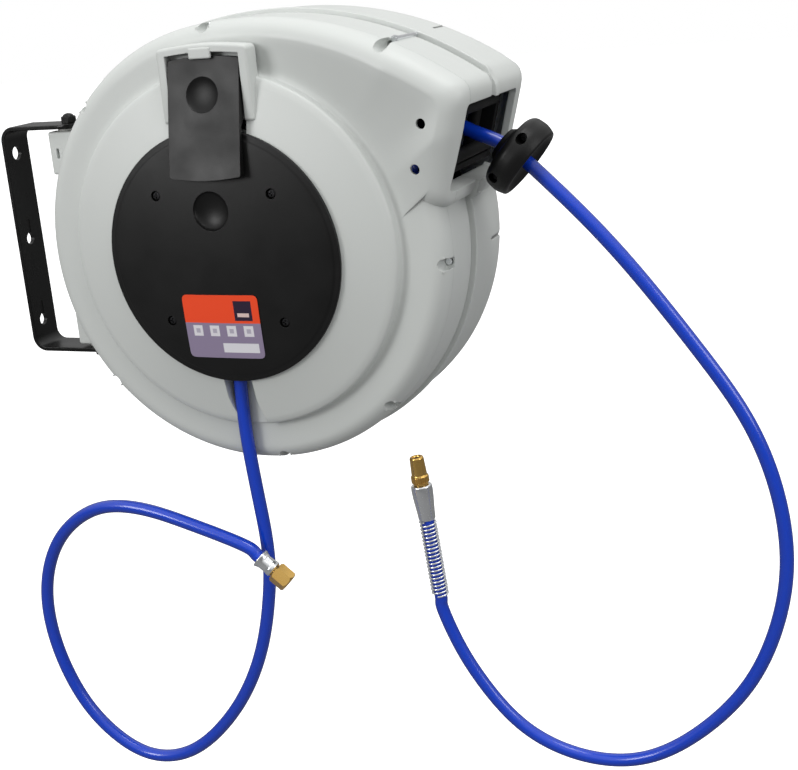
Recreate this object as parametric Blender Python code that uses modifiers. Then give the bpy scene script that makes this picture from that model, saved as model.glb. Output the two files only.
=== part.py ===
"""Retractable air hose reel: a wall bracket, a two-shell housing that swivels on it,
a spring-driven drum with a ratchet, a roller hose guide, and the hoses with their fittings.

Frame: +X points from the wall to the hose outlet, the drum turns about Y, the front cover
faces -Y and +Z is up. The pieces are laid out around the drum axis, in the plane where the
shells meet, and the finished reel is then moved so that the origin lies on the wall.
All sizes below are in millimetres and degrees; meshes are made in metres.
"""
import math

import bmesh
import bpy
from mathutils import Matrix, Vector

MM = 0.001
GAP = 0.3                    # clearance between neighbouring pieces

# Housing outline, in the XZ plane
RIM_R = 190.0                # round part of the housing, at the shell joint
TOP_R = 315.0                # large arc that runs from the top of the rim to the nose
TOP_START = 106.0            # angle at which that arc leaves the round rim
FACE_LEAN = 15.0             # the nose face looks this far below +X
FACE_DIST = 179.3            # drum axis to the nose face plane
UNDER_ANGLE = 10.0           # where the nose's underside leaves the rim
CORNER_BLEND = 14.0          # softness of the nose's top corner
NOSE_FLARE = 0.2             # how much the nose's front side swells towards the viewer
WALL = 3.5
JOINT = GAP / 2

# Depths along Y
COVER_Y = -92.0              # rim of the front cover
COVER_DOME = 7.0             # how far its middle stands proud of the rim
COVER_R = 108.0
PLATEAU_R = 148.0
SIDE_Y = -66.5               # the housing's front side, outside the plateau
FLOOR_Y = -66.0              # floor of the recess behind the cover
BACK_Y = 88.0

# Nose window and roller guide; local axes: N out of the face, U up along it
WINDOW_U = 136.5             # from the foot of the face's normal to the window's middle
WINDOW_H, WINDOW_W = 60.0, 124.0
WINDOW_SILL = 11.0           # how much lower the opening in the face is than the guide behind it

# Drum
CORE_R, COIL_R, FLANGE_R = 118.0, 155.0, 170.0
FLANGE_Y = 58.0
HUB_R = 18.0
AXLE_R = 9.0
RATCHET_R, RATCHET_ROOT, RATCHET_TEETH = 130.0, 121.0, 12
RATCHET_Y = -60.6
HOSE_R = 6.0
FEED_ANGLE = 25.0            # the hose leaves the drum this far below +X
FEED_R = 161.4               # distance from the drum axis to the outgoing hose

# Hose stop
STOP_X, STOP_Z, STOP_ANGLE = 235.0, 65.5, 40.0
STOP_R, STOP_HALF = 34.0, 11.0

# Wall bracket
PIVOT_X = -196.0
STRIP_X = -260.0
STRIP_W, STRIP_T = 36.0, 4.0
ARM_Z = 104.0                # inner face of each arm
CORNER_R = 14.0

WALL_HOLE_Z = 82.0           # round fixing hole
KEYHOLE_Z = (0.0, -80.0)     # round ends of the keyholes; their slots run upwards
KEYHOLE_RISE = 17.0

# The frame's origin, seen from the drum axis: on the bracket's back face, on its centre line,
# between the round hole and the upper keyhole
ORIGIN = Vector((STRIP_X - STRIP_T / 2, 0.0, 40.0))

SCREW_ANGLES = (93.0, 47.5, -4.0, -46.5, -83.0, -139.6, 137.0)


# ---------------------------------------------------------------- scene and materials

def clear_scene():
    for obj in list(bpy.data.objects):
        bpy.data.objects.remove(obj, do_unlink=True)


def new_collection(name):
    collection = bpy.data.collections.new(name)
    bpy.context.scene.collection.children.link(collection)
    return collection


clear_scene()
PARTS = new_collection("hose_reel")
TOOLS = new_collection("tools")


def material(name, color, roughness, metallic=0.0):
    mat = bpy.data.materials.new(name)
    mat.use_nodes = True
    shader = mat.node_tree.nodes["Principled BSDF"]
    shader.inputs["Base Color"].default_value = (*color, 1.0)
    shader.inputs["Roughness"].default_value = roughness
    shader.inputs["Metallic"].default_value = metallic
    return mat


GREY = (0.62, 0.63, 0.60)
BLACK = (0.02, 0.02, 0.02)
BLUE = (0.01, 0.08, 0.60)
STEEL = (0.60, 0.60, 0.60)
BRASS = (0.70, 0.48, 0.18)
WHITE = (0.85, 0.85, 0.83)
RED = (0.80, 0.12, 0.05)
FINISHES = {
    "shell": (GREY, 0.50, 0.0), "black": (BLACK, 0.45, 0.0), "paint": (BLACK, 0.40, 0.3),
    "hose": (BLUE, 0.25, 0.0), "steel": (STEEL, 0.30, 1.0), "brass": (BRASS, 0.30, 1.0),
    "nylon": (WHITE, 0.50, 0.0), "label": (RED, 0.40, 0.0), "drum": (BLACK, 0.50, 0.0),
}


# ---------------------------------------------------------------- making objects

def place(name, obj, finish):
    """Names a piece, gives it its own material and files it with the parts."""
    obj.name = name
    obj.data.materials.clear()
    obj.data.materials.append(material(name, *FINISHES[finish]))
    for collection in list(obj.users_collection):
        collection.objects.unlink(obj)
    PARTS.objects.link(obj)
    return obj


def tool(obj):
    """Files a cutter or a joining shape apart from the parts."""
    obj.hide_render = True
    obj.display_type = "WIRE"
    for collection in list(obj.users_collection):
        collection.objects.unlink(obj)
    TOOLS.objects.link(obj)
    return obj


def mesh_object(name, build):
    """Runs build on an empty bmesh and wraps the result, in metres, as an object."""
    bm = bmesh.new()
    build(bm)
    bmesh.ops.scale(bm, vec=(MM, MM, MM), verts=bm.verts)
    mesh = bpy.data.meshes.new(name)
    bm.to_mesh(mesh)
    bm.free()
    obj = bpy.data.objects.new(name, mesh)
    bpy.context.scene.collection.objects.link(obj)
    return obj


def face_outwards(bm):
    bmesh.ops.recalc_face_normals(bm, faces=bm.faces)
    if bm.calc_volume(signed=True) < 0:
        bmesh.ops.reverse_faces(bm, faces=bm.faces)


def aim(obj, centre, direction=(0, 0, 1)):
    """Puts obj at centre (mm) with its local Z along direction."""
    obj.location = Vector(centre) * MM
    obj.rotation_mode = "QUATERNION"
    obj.rotation_quaternion = Vector(direction).to_track_quat("Z", "Y")
    return obj


def turned(name, profile, centre=(0, 0, 0), direction=(0, 1, 0), steps=32):
    """A Screw of a closed (radius, height) profile that runs down its outer side."""
    def build(bm):
        verts = [bm.verts.new((r, 0, h)) for r, h in profile]
        on_axis = profile[0][0] == 0 and profile[-1][0] == 0
        pairs = list(zip(verts, verts[1:])) + ([] if on_axis else [(verts[-1], verts[0])])
        for a, b in pairs:
            bm.edges.new((a, b))

    obj = mesh_object(name, build)
    screw = obj.modifiers.new("Screw", "SCREW")
    screw.steps = screw.render_steps = steps
    screw.use_merge_vertices = True
    screw.merge_threshold = 0.00001
    screw.use_smooth_shade = False
    return aim(obj, centre, direction)


def rod(name, radius, low, high, centre=(0, 0, 0), direction=(0, 1, 0), steps=16):
    """A plain cylinder from height low to height high along its direction."""
    return turned(name, [(0, high), (radius, high), (radius, low), (0, low)], centre, direction, steps)


def tube(name, inner, outer, low, high, centre=(0, 0, 0), direction=(0, 1, 0), steps=32):
    """A plain ring between two radii."""
    profile = [(inner, high), (outer, high), (outer, low), (inner, low)]
    return turned(name, profile, centre, direction, steps)


def box(name, low, high, lean=0.0, pivot=(0, 0, 0), bevel=0.0):
    """A box between two corners, turned by lean degrees about Y through pivot."""
    size = [h - l for l, h in zip(low, high)]
    middle = Vector([(l + h) / 2 for l, h in zip(low, high)])
    obj = mesh_object(name, lambda bm: bmesh.ops.create_cube(
        bm, size=1.0, matrix=Matrix.Translation(middle) @ Matrix.Diagonal((*size, 1.0))))
    obj.location = Vector(pivot) * MM
    obj.rotation_euler = (0, math.radians(lean), 0)
    if bevel:
        edge = obj.modifiers.new("Bevel", "BEVEL")
        edge.width = bevel * MM
        edge.segments = 2
        edge.limit_method = "ANGLE"
    return obj


def boolean(target, operation, *others):
    for other in others:
        modifier = target.modifiers.new(operation.title(), "BOOLEAN")
        modifier.operation = operation
        modifier.solver = "EXACT"
        modifier.object = tool(other)
    return target


def cut(target, *cutters):
    return boolean(target, "DIFFERENCE", *cutters)


def join(target, *others):
    return boolean(target, "UNION", *others)


def plate(name, outline, thickness, centre, direction=(0, 1, 0), hole=()):
    """A flat outline of (u, v) points, with or without a hole, extruded to both sides of its plane."""
    curve = bpy.data.curves.new(name, "CURVE")
    curve.dimensions = "2D"
    curve.fill_mode = "BOTH"
    curve.extrude = thickness / 2 * MM
    for loop in (outline, hole) if hole else (outline,):
        spline = curve.splines.new("POLY")
        spline.points.add(len(loop) - 1)
        for point, (u, v) in zip(spline.points, loop):
            point.co = (u * MM, v * MM, 0, 1)
        spline.use_cyclic_u = True
    flat = bpy.data.objects.new(name, curve)
    bpy.context.scene.collection.objects.link(flat)
    return curve_to_mesh(aim(flat, centre, direction))


def curve_to_mesh(obj):
    """Swaps a curve object for the closed mesh it draws."""
    bpy.context.view_layer.update()
    evaluated = obj.evaluated_get(bpy.context.evaluated_depsgraph_get())
    mesh = bpy.data.meshes.new_from_object(evaluated)
    bm = bmesh.new()
    bm.from_mesh(mesh)
    bmesh.ops.remove_doubles(bm, verts=bm.verts, dist=0.00001)
    bmesh.ops.recalc_face_normals(bm, faces=bm.faces)
    bm.to_mesh(mesh)
    bm.free()
    solid = bpy.data.objects.new(obj.name, mesh)
    bpy.context.scene.collection.objects.link(solid)
    solid.matrix_world = obj.matrix_world.copy()
    bpy.data.objects.remove(obj, do_unlink=True)
    return solid


def wire(name, points, radius, resolution=2):
    """A round wire or hose through a list of points."""
    curve = bpy.data.curves.new(name, "CURVE")
    curve.dimensions = "3D"
    curve.bevel_depth = radius * MM
    curve.bevel_resolution = resolution
    curve.use_fill_caps = True
    spline = curve.splines.new("POLY")
    spline.points.add(len(points) - 1)
    for point, position in zip(spline.points, points):
        point.co = (*(Vector(position) * MM), 1)
    obj = bpy.data.objects.new(name, curve)
    bpy.context.scene.collection.objects.link(obj)
    return curve_to_mesh(obj)


def smooth_path(controls, per_span):
    """A Catmull-Rom curve through the control points."""
    points = [Vector(c) for c in controls]
    ends = [2 * points[0] - points[1]] + points + [2 * points[-1] - points[-2]]
    path = []
    for a, b, c, d in zip(ends, ends[1:], ends[2:], ends[3:]):
        for i in range(per_span):
            t = i / per_span
            path.append(0.5 * (2 * b + (c - a) * t + (2 * a - 5 * b + 4 * c - d) * t * t
                               + (3 * b - a - 3 * c + d) * t ** 3))
    return path + [points[-1]]


def hex_points(across_flats):
    radius = across_flats / math.sqrt(3)
    return [(radius * math.cos(math.radians(a)), radius * math.sin(math.radians(a)))
            for a in range(0, 360, 60)]


# ---------------------------------------------------------------- housing outline

def circle_reach(inset):
    return RIM_R - inset


def nose_reach(angle, inset):
    """Distance from the drum axis to the nose's outer surface at an angle."""
    tilt = min(angle + FACE_LEAN, 80.0)
    face = (FACE_DIST - inset) / math.cos(math.radians(tilt))
    drop = TOP_R - RIM_R
    rise = drop * math.cos(math.radians(TOP_START - angle))
    top = -rise + math.sqrt(rise ** 2 + (TOP_R - inset) ** 2 - drop ** 2)
    share = min(1.0, max(0.0, 0.5 + (top - face) / (2 * CORNER_BLEND)))
    return top * (1 - share) + face * share - CORNER_BLEND * share * (1 - share)


def rim_point(angle, inset):
    """A point of the housing's outline, moved inwards by inset."""
    on_nose = UNDER_ANGLE < angle < TOP_START
    reach = nose_reach(angle, inset) if on_nose else circle_reach(inset)
    return reach * math.cos(math.radians(angle)), reach * math.sin(math.radians(angle))


CIRCLE_STEPS = 30
NOSE_STEPS = (0.03, 0.09, 0.15, 0.2, 0.23, 0.26, 0.32, 0.41, 0.53, 0.67, 0.83)


def outline(inset):
    """The whole housing outline, anticlockwise from where the top arc starts, as (reach, angle) pairs."""
    under = UNDER_ANGLE + math.degrees(inset / RIM_R)
    sweep = 360 - TOP_START + under
    rest = TOP_START - under
    ring = [(circle_reach(inset), TOP_START + sweep * i / CIRCLE_STEPS) for i in range(CIRCLE_STEPS + 1)]
    ring.append((nose_reach(under, inset) - 3.0, under + 0.1))
    ring += [(nose_reach(under + rest * t, inset), under + rest * t) for t in NOSE_STEPS]
    return ring


def outline_ring(inset, y):
    """One loop of the housing at depth y; the nose's front side swells outwards."""
    ring = []
    for reach, angle in outline(inset):
        beyond = min(1.0, max(0.0, (reach - circle_reach(inset)) / 40.0))
        depth = y * (1 + NOSE_FLARE * beyond) if y < -40 else y
        ring.append((reach * math.cos(math.radians(angle)), depth, reach * math.sin(math.radians(angle))))
    return ring


def round_ring(radius, y):
    """A plain circle with as many points as the outline."""
    count = CIRCLE_STEPS + 2 + len(NOSE_STEPS)
    nose_count = count - CIRCLE_STEPS
    angles = [90 + (270 + UNDER_ANGLE) * i / CIRCLE_STEPS for i in range(CIRCLE_STEPS + 1)]
    angles += [UNDER_ANGLE + 80 * (i + 1) / nose_count for i in range(nose_count - 1)]
    return [(radius * math.cos(math.radians(a)), y, radius * math.sin(math.radians(a))) for a in angles]


def loft(name, rings):
    """A closed skin through loops of equal length; the last loop joins the first."""
    def build(bm):
        loops = [[bm.verts.new(p) for p in ring] for ring in rings]
        for near, far in zip(loops, loops[1:] + loops[:1]):
            for i in range(len(near)):
                j = (i + 1) % len(near)
                bm.faces.new((near[i], near[j], far[j], far[i]))
        face_outwards(bm)
        bmesh.ops.triangulate(bm, faces=bm.faces)
    return mesh_object(name, build)


def window_point(n, y, u):
    """A point given out of the nose face (n) and up along it (u) from the window's middle."""
    lean = math.radians(FACE_LEAN)
    out, up = FACE_DIST + n, WINDOW_U + u
    return (out * math.cos(lean) + up * math.sin(lean), y, -out * math.sin(lean) + up * math.cos(lean))


WINDOW = window_point(0, 0, 0)
FACE_NORMAL = (math.cos(math.radians(FACE_LEAN)), 0, -math.sin(math.radians(FACE_LEAN)))
FACE_UP = (math.sin(math.radians(FACE_LEAN)), 0, math.cos(math.radians(FACE_LEAN)))


# ---------------------------------------------------------------- housing shells

SCREW_INSET = 4.5
SCREW_SEAT = -43.0           # the screw heads sit at this depth in the rim
COVER_SCREWS = [(54, 54), (-54, 54), (-54, -54), (54, -54)]
LEVER_HALF = 33.0            # half width of the ratchet lever
HINGE_Y, HINGE_Z = -81.0, 160.0
LEVER_PIN_HALF = 38.5
PAWL_PIVOT = (-36.0, 135.0)  # x and z of the pawl's pin
LUG_X = (-212.0, -150.0)
LUG_Y = 14.0
LUG_Z = (62.0, 101.5)
GUIDE_SCREWS = [(181.0, 103.0), (172.0, 67.0)]


def add_lugs(shell, low_y, high_y):
    """Pivot lugs at the back of the housing, with bores for the bushes."""
    for side in (1, -1):
        z = sorted((side * LUG_Z[0], side * LUG_Z[1]))
        join(shell, box("lug", (LUG_X[0], low_y, z[0]), (LUG_X[1], high_y, z[1])))
    cut(shell, rod("lug_trim", RIM_R - WALL - 2.5, -62, 62, steps=28))
    for side in (1, -1):
        z = sorted((side * 74, side * 110))
        cut(shell, rod("pivot_bore", 6.8, z[0], z[1], (PIVOT_X, 0, 0), (0, 0, 1)))


# Screw blocks, each: half width, gap to the rim outside and inside the block, lowest and highest y
FRONT_BLOCKS = [(6.6, 7.7, 14.0, -64.3, -0.7), (5.8, 2.9, 9.3, -57.6, -0.9)]
REAR_BLOCKS = [(5.8, 2.9, 13.1, 0.9, 67.7), (6.6, 7.7, 15.2, 0.7, 79.6)]


def add_screw_channels(shell, blocks, channel, bore):
    """Blocks inside the rim, open channels outside it, and a bore for each screw."""
    for angle in SCREW_ANGLES:
        reach = math.hypot(*rim_point(angle, 0))
        for half, outer, inner, low_y, high_y in blocks:
            low, high = (reach - inner, low_y, -half), (reach - outer, high_y, half)
            join(shell, box("screw_block", low, high, -angle))
    for angle in SCREW_ANGLES:
        x, z = rim_point(angle, 3.2)
        cut(shell, rod("screw_channel", 5.0, *channel, (x, 0, z), steps=8))
        x, z = rim_point(angle, SCREW_INSET)
        cut(shell, rod("screw_bore", 2.6, *bore, (x, 0, z), steps=6))


def window_cutter():
    return box("window", (-30, -WINDOW_W / 2, -WINDOW_H / 2 - WINDOW_SILL), (20, WINDOW_W / 2, WINDOW_H / 2),
               FACE_LEAN, WINDOW)


def front_shell():
    rings = [
        round_ring(11, FLOOR_Y), round_ring(101.5, FLOOR_Y), round_ring(104.5, -88.0),
        round_ring(PLATEAU_R + 1, -77.5), round_ring(152.5, -67.5),
        outline_ring(12.5, SIDE_Y), outline_ring(7.5, SIDE_Y + 1.5), outline_ring(2.5, SIDE_Y + 8.0),
        outline_ring(0, -46), outline_ring(0, -3), outline_ring(2.0, -JOINT),
        outline_ring(WALL + 1, -JOINT), outline_ring(WALL, -46),
        outline_ring(8.5, SIDE_Y + 6.0), outline_ring(14.0, SIDE_Y + WALL),
        round_ring(149.5, -63.2), round_ring(145.5, -74.0),
        round_ring(108.2, -84.3), round_ring(105.4, FLOOR_Y + WALL), round_ring(11, FLOOR_Y + WALL),
    ]
    shell = loft("front_shell", rings)
    add_lugs(shell, -LUG_Y, -0.5)
    add_screw_channels(shell, FRONT_BLOCKS, (-100, SCREW_SEAT), (-50, 5))
    half = LEVER_HALF
    join(shell, box("lever_surround", (-half - 9, -86, 116), (half + 9, -70, 173), bevel=3.0))
    cut(shell, box("lever_pocket", (-half - 1, -110, 90), (half + 1, -76.5, 167)))
    cut(shell, rod("lever_pin_bore", 2.4, -half - 6, half + 6, (0, HINGE_Y, HINGE_Z), (1, 0, 0), 10))
    cut(shell, box("pawl_slot", (-20, -90, 112), (-6, -60, 136)),
        rod("pawl_pin_bore", 2.8, -75.6, -68, (PAWL_PIVOT[0], 0, PAWL_PIVOT[1]), steps=12))
    slot_side = [(-64.3, -103.4), (-85.4, -105.9), (-75.3, -149.4), (-64.3, -150.6)]
    join(shell, plate("slot_walls", slot_side, 33.0, (-1.5, 0, 0), (1, 0, 0)))
    cut(shell, box("hose_slot", (-15, -100, -156), (12, -68.1, -98)))
    cut(shell, window_cutter())
    for x, z in COVER_SCREWS:
        join(shell, rod("cover_boss", 6.0, -87.6, FLOOR_Y + 1, (x, 0, z), steps=8))
        cut(shell, rod("cover_pilot", 2.6, -90, FLOOR_Y + 0.5, (x, 0, z), steps=6))
    for x, z in GUIDE_SCREWS:
        cut(shell, rod("guide_hole", 4.2, -100, -60, (x, 0, z), steps=12))
    return place("front_shell", shell, "shell")


def rear_shell():
    rings = [
        outline_ring(WALL + 1, JOINT), outline_ring(2.0, JOINT), outline_ring(0, 3),
        outline_ring(0, 66), outline_ring(5, 81), outline_ring(13, BACK_Y),
        round_ring(60, BACK_Y), round_ring(56, BACK_Y + 4), round_ring(AXLE_R + 1, BACK_Y + 4),
        round_ring(AXLE_R + 1, BACK_Y - WALL),
        outline_ring(14.5, BACK_Y - WALL), outline_ring(8.5, 77.5), outline_ring(WALL, 64),
        outline_ring(WALL, 4),
    ]
    shell = loft("rear_shell", rings)
    add_lugs(shell, 0.5, LUG_Y)
    add_screw_channels(shell, REAR_BLOCKS, (45, 100), (-5, 14))
    cut(shell, window_cutter())
    return place("rear_shell", shell, "shell")


def shell_screws():
    for number, angle in enumerate(SCREW_ANGLES, 1):
        x, z = rim_point(angle, SCREW_INSET)
        profile = [(0, 12), (2.0, 12), (2.0, SCREW_SEAT - GAP), (3.0, SCREW_SEAT - GAP),
                   (3.0, SCREW_SEAT - 3.5), (0, SCREW_SEAT - 3.5)]
        place(f"shell_screw_{number}", turned("screw", profile, (x, 0, z), steps=8), "steel")


def dome_y(radius):
    return COVER_Y - COVER_DOME * (1 - (radius / COVER_R) ** 2)


def front_cover():
    """A shallow dome with a lip that drops into the shell's recess, finger and screw recesses."""
    radii = (0, 45, 80, 104)
    outer = [(r, -dome_y(r)) for r in radii]
    inner = [(r, -dome_y(r) - 3.0) for r in reversed(radii[:-1])]
    profile = outer + [(COVER_R, -COVER_Y - 1.0), (COVER_R, 88.4), (103.6, 88.4), (103.2, 84.0),
                       (101.0, 84.0), (101.0, 89.3)] + inner
    cover = turned("front_cover", profile, direction=(0, -1, 0), steps=36)
    for x, z in COVER_SCREWS:
        join(cover, rod("cover_post", 6.5, -94.5, -88.0, (x, 0, z), steps=8))
    cup_wall = [(0, 97), (19, 97), (14, 90), (0, 88)]
    cup = [(0, 105), (20, 105), (16, 97.5), (12, 93.5), (6, 91.4), (0, 91)]
    join(cover, turned("finger_cup_wall", cup_wall, (-2, 0, 41), (0, -1, 0), 16))
    cut(cover, turned("finger_cup", cup, (-2, 0, 41), (0, -1, 0), 16))
    for x, z in COVER_SCREWS:
        cut(cover, rod("head_recess", 4.6, -110, -91.6, (x, 0, z), steps=8),
            rod("screw_hole", 2.6, -95, -85, (x, 0, z), steps=6))
    place("front_cover", cover, "black")
    for number, (x, z) in enumerate(COVER_SCREWS, 1):
        profile = [(0, -70), (2.0, -70), (2.0, -91.9), (3.9, -91.9), (3.9, -94.2), (0, -94.2)]
        place(f"cover_screw_{number}", turned("screw", profile, (x, 0, z), steps=8), "steel")


def label():
    """A thin plate bent to the cover's dome."""
    half_w, top, bottom, middle = 36.0, -30.0, -86.0, -4.0
    columns, rows = 4, 3

    def build(bm):
        grid = bmesh.ops.create_grid(bm, x_segments=columns, y_segments=rows, size=1.0)
        for vert in grid["verts"]:
            x = middle + vert.co.x * half_w
            z = (top + bottom) / 2 + vert.co.y * (top - bottom) / 2
            vert.co = (x, dome_y(math.hypot(x, z)) - 0.45, z)
        skin = bmesh.ops.extrude_face_region(bm, geom=bm.faces[:])
        raised = [v for v in skin["geom"] if isinstance(v, bmesh.types.BMVert)]
        bmesh.ops.translate(bm, vec=(0, -0.4, 0), verts=raised)
        face_outwards(bm)
    place("label", mesh_object("label", build), "label")


# ---------------------------------------------------------------- ratchet lever and pawl

def ratchet_lever():
    """A flap hinged near its top; its lower end lifts away from the cover."""
    side = [(-105.0, 67.0), (-84.0, 165.5), (-81.0, 165.0), (-78.0, 162.6), (-77.7, 150.0),
            (-89.3, 112.0), (-93.2, 108.5), (-97.8, 67.0)]
    about_hinge = [(y - HINGE_Y, z - HINGE_Z) for y, z in side]
    pin_hole = [(2.4 * math.cos(math.radians(a)), 2.4 * math.sin(math.radians(a))) for a in range(0, 360, 36)]
    lever = plate("ratchet_lever", about_hinge, 2 * LEVER_HALF, (0, HINGE_Y, HINGE_Z), (1, 0, 0), pin_hole)
    cut(lever, turned("thumb_cup", [(0, 30), (15.5, 30), (15.5, -0.6), (9.5, -3.2), (0, -4.0)],
                      (-1, -91.2, 135), (0, -1, 0.21), 18))
    place("ratchet_lever", lever, "black")
    pin = rod("lever_pin", 2.0, -LEVER_PIN_HALF, LEVER_PIN_HALF, (0, HINGE_Y, HINGE_Z), (1, 0, 0), 10)
    place("lever_pin", pin, "steel")


def ratchet_ring():
    """Saw teeth on the drum's front flange; each has one radial face."""
    points = []
    pitch = 360 / RATCHET_TEETH
    for tooth in range(RATCHET_TEETH):
        start = 90 + tooth * pitch
        for step in (0.0, 0.5, 1.0):
            reach = RATCHET_ROOT + (RATCHET_R - RATCHET_ROOT) * step
            points.append((reach, start + pitch * step * 0.999))
    flat = [(r * math.cos(math.radians(a)), r * math.sin(math.radians(a))) for r, a in points]
    ring = plate("ratchet_ring", flat, 4.2, (0, RATCHET_Y, 0), (0, -1, 0))
    cut(ring, rod("ring_bore", 110, -70, -50, steps=24))
    place("ratchet_ring", ring, "steel")


def pawl():
    """A finger that drops behind a ratchet tooth when it turns about its pin."""
    x, z = PAWL_PIVOT
    finger = [(-7, -3), (-4, -7), (5, -7), (30, -2.8), (34, -2.5), (34, 4), (8, 7), (0, 8), (-6, 5)]
    arm = plate("pawl", finger, 4.0, (x, RATCHET_Y, z), (0, -1, 0))
    cut(arm, rod("pawl_bore", 2.9, -75, -55, (x, 0, z), steps=12))
    place("pawl", arm, "steel")
    place("pawl_pin", rod("pawl_pin", 2.5, -75.2, -58.6, (x, 0, z), steps=12), "steel")


def pawl_spring():
    """A small torsion spring around the pawl's pin."""
    x, z = PAWL_PIVOT
    turns, per_turn = 2, 8
    points = [(x + 4.4 * math.cos(2 * math.pi * i / per_turn), -64.5 - 1.25 * i / per_turn,
               z + 4.4 * math.sin(2 * math.pi * i / per_turn)) for i in range(turns * per_turn + 1)]
    place("pawl_spring", wire("pawl_spring", points, 0.5, 0), "steel")


# ---------------------------------------------------------------- drum

def drum():
    core = turned("drum_core", [
        (CORE_R, FLANGE_Y - 3.5), (CORE_R, -FLANGE_Y + 3.5), (CORE_R - 3, -FLANGE_Y + 3.5),
        (CORE_R - 3, -24), (HUB_R, -24), (HUB_R, -50), (13.4, -50), (13.4, 50), (HUB_R, 50),
        (HUB_R, -20), (CORE_R - 3, -20), (CORE_R - 3, FLANGE_Y - 3.5)], steps=28)
    place("drum_core", core, "drum")
    for name, side in (("drum_front_flange", -1), ("drum_rear_flange", 1)):
        edge, face = FLANGE_Y * side, (FLANGE_Y - 3.2) * side
        low, high = min(edge, face), max(edge, face)
        flange = turned(name, [(104, high), (FLANGE_R, high), (FLANGE_R, low), (104, low)], steps=28)
        place(name, flange, "drum")
    place("drum_bush_front", turned("bush", [
        (AXLE_R + 0.3, -40), (13.1, -40), (13.1, -50.3), (16.5, -50.3), (16.5, -53.5),
        (AXLE_R + 0.3, -53.5)], steps=20), "nylon")
    place("drum_bush_rear", turned("bush", [
        (AXLE_R + 0.3, 53.5), (16.5, 53.5), (16.5, 50.3), (13.1, 50.3), (13.1, 40),
        (AXLE_R + 0.3, 40)], steps=20), "nylon")


def hose_coil():
    """The wound hose, drawn as one ring with a ripple for each turn."""
    turns = 9
    half = FLANGE_Y - 4.0
    pitch = 2 * half / turns
    profile = [(CORE_R + 0.4, half)]
    for turn in range(turns):
        top = half - turn * pitch
        profile += [(COIL_R - 4.5, top - 0.3), (COIL_R, top - pitch * 0.5)]
    profile += [(COIL_R - 4.5, -half), (CORE_R + 0.4, -half)]
    place("hose_coil", turned("hose_coil", profile, steps=28), "hose")


CASE_R, CASE_Y = 84.0, (-19.0, 30.0)


def spring_case():
    """A cup inside the drum core that holds the rewind spring, with its lid."""
    low, high = CASE_Y
    place("spring_case", turned("spring_case", [
        (HUB_R + 0.4, low + 2.5), (CASE_R - 2.5, low + 2.5), (CASE_R - 2.5, high), (CASE_R, high),
        (CASE_R, low + 0.3), (HUB_R + 0.4, low + 0.3)], steps=28), "steel")
    place("spring_case_lid", tube("spring_case_lid", HUB_R + 0.4, CASE_R, high + 0.3, high + 2.3,
                                  steps=28), "steel")


def power_spring():
    """A flat steel strip wound as a spiral around the hub."""
    turns, per_turn = 5, 12
    inner, outer = HUB_R + 3.0, CASE_R - 5.0
    half_t = 0.6

    def build(bm):
        rows = []
        for i in range(turns * per_turn + 1):
            share = i / (turns * per_turn)
            angle = 2 * math.pi * turns * share
            radius = inner + (outer - inner) * share
            rows.append([bm.verts.new((r * math.cos(angle), y, r * math.sin(angle)))
                         for r, y in ((radius - half_t, -12), (radius + half_t, -12),
                                      (radius + half_t, 27), (radius - half_t, 27))])
        for near, far in zip(rows, rows[1:]):
            for i in range(4):
                j = (i + 1) % 4
                bm.faces.new((near[i], near[j], far[j], far[i]))
        bm.faces.new(rows[0])
        bm.faces.new(rows[-1][::-1])
        face_outwards(bm)
    place("power_spring", mesh_object("power_spring", build), "steel")


def axle():
    """A fixed hollow axle between the shells, carrying the air to the drum."""
    profile = [(3.5, 91), (AXLE_R, 91), (AXLE_R, -70.0), (3.5, -70.0)]
    place("axle", turned("axle", profile, steps=20), "steel")
    nut = plate("axle_nut", hex_points(30.0), 5.5, (0, 81.0, 0))
    cut(nut, rod("nut_bore", AXLE_R + 0.5, 70, 90, steps=20))
    place("axle_nut", nut, "steel")
    place("rotary_seal", tube("rotary_seal", AXLE_R + 0.3, 15, -58.5, -54.2, steps=20), "black")
    elbow = turned("inlet_elbow", [(0, -70.3), (8, -70.3), (8, -84), (0, -84)], steps=16)
    join(elbow, rod("spigot", 6.6, 5, 26, (0, -77, 0), (0, 0, -1), 16))
    place("inlet_elbow", elbow, "brass")


# ---------------------------------------------------------------- roller guide in the nose

ROLLER_R = 5.5


def roller_guide():
    def local(name, low, high):
        return box(name, low, high, FACE_LEAN, WINDOW)

    frame = local("roller_frame", (-33, -59.5, -34), (-7, 59.5, 31))
    cut(frame, local("frame_opening", (-40, -52, -27), (0, 52, 26)))
    for u in (-20.5, 19.5):
        cut(frame, rod("pin_hole", 2.3, -70, 70, window_point(-14, 0, u), (0, 1, 0), 8))
    for y in (-45, 45):
        cut(frame, rod("pin_hole", 2.3, -40, 40, window_point(-26, y, 0), FACE_UP, 8))
    place("roller_frame", frame, "black")
    rows = [("top", window_point(-14, 0, 19.5), (0, 1, 0), 51.0, 58.5),
            ("bottom", window_point(-14, 0, -20.5), (0, 1, 0), 51.0, 58.5),
            ("left", window_point(-26, -45, -0.5), FACE_UP, 26.0, 31.0),
            ("right", window_point(-26, 45, -0.5), FACE_UP, 26.0, 31.0)]
    for side, centre, direction, half, pin_half in rows:
        roller = tube("roller", 2.3, ROLLER_R, -half, half, centre, direction, 12)
        place(f"roller_{side}", roller, "black")
        place(f"roller_pin_{side}", rod("pin", 1.8, -pin_half, pin_half, centre, direction, 8), "steel")


# ---------------------------------------------------------------- hoses and fittings

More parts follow.
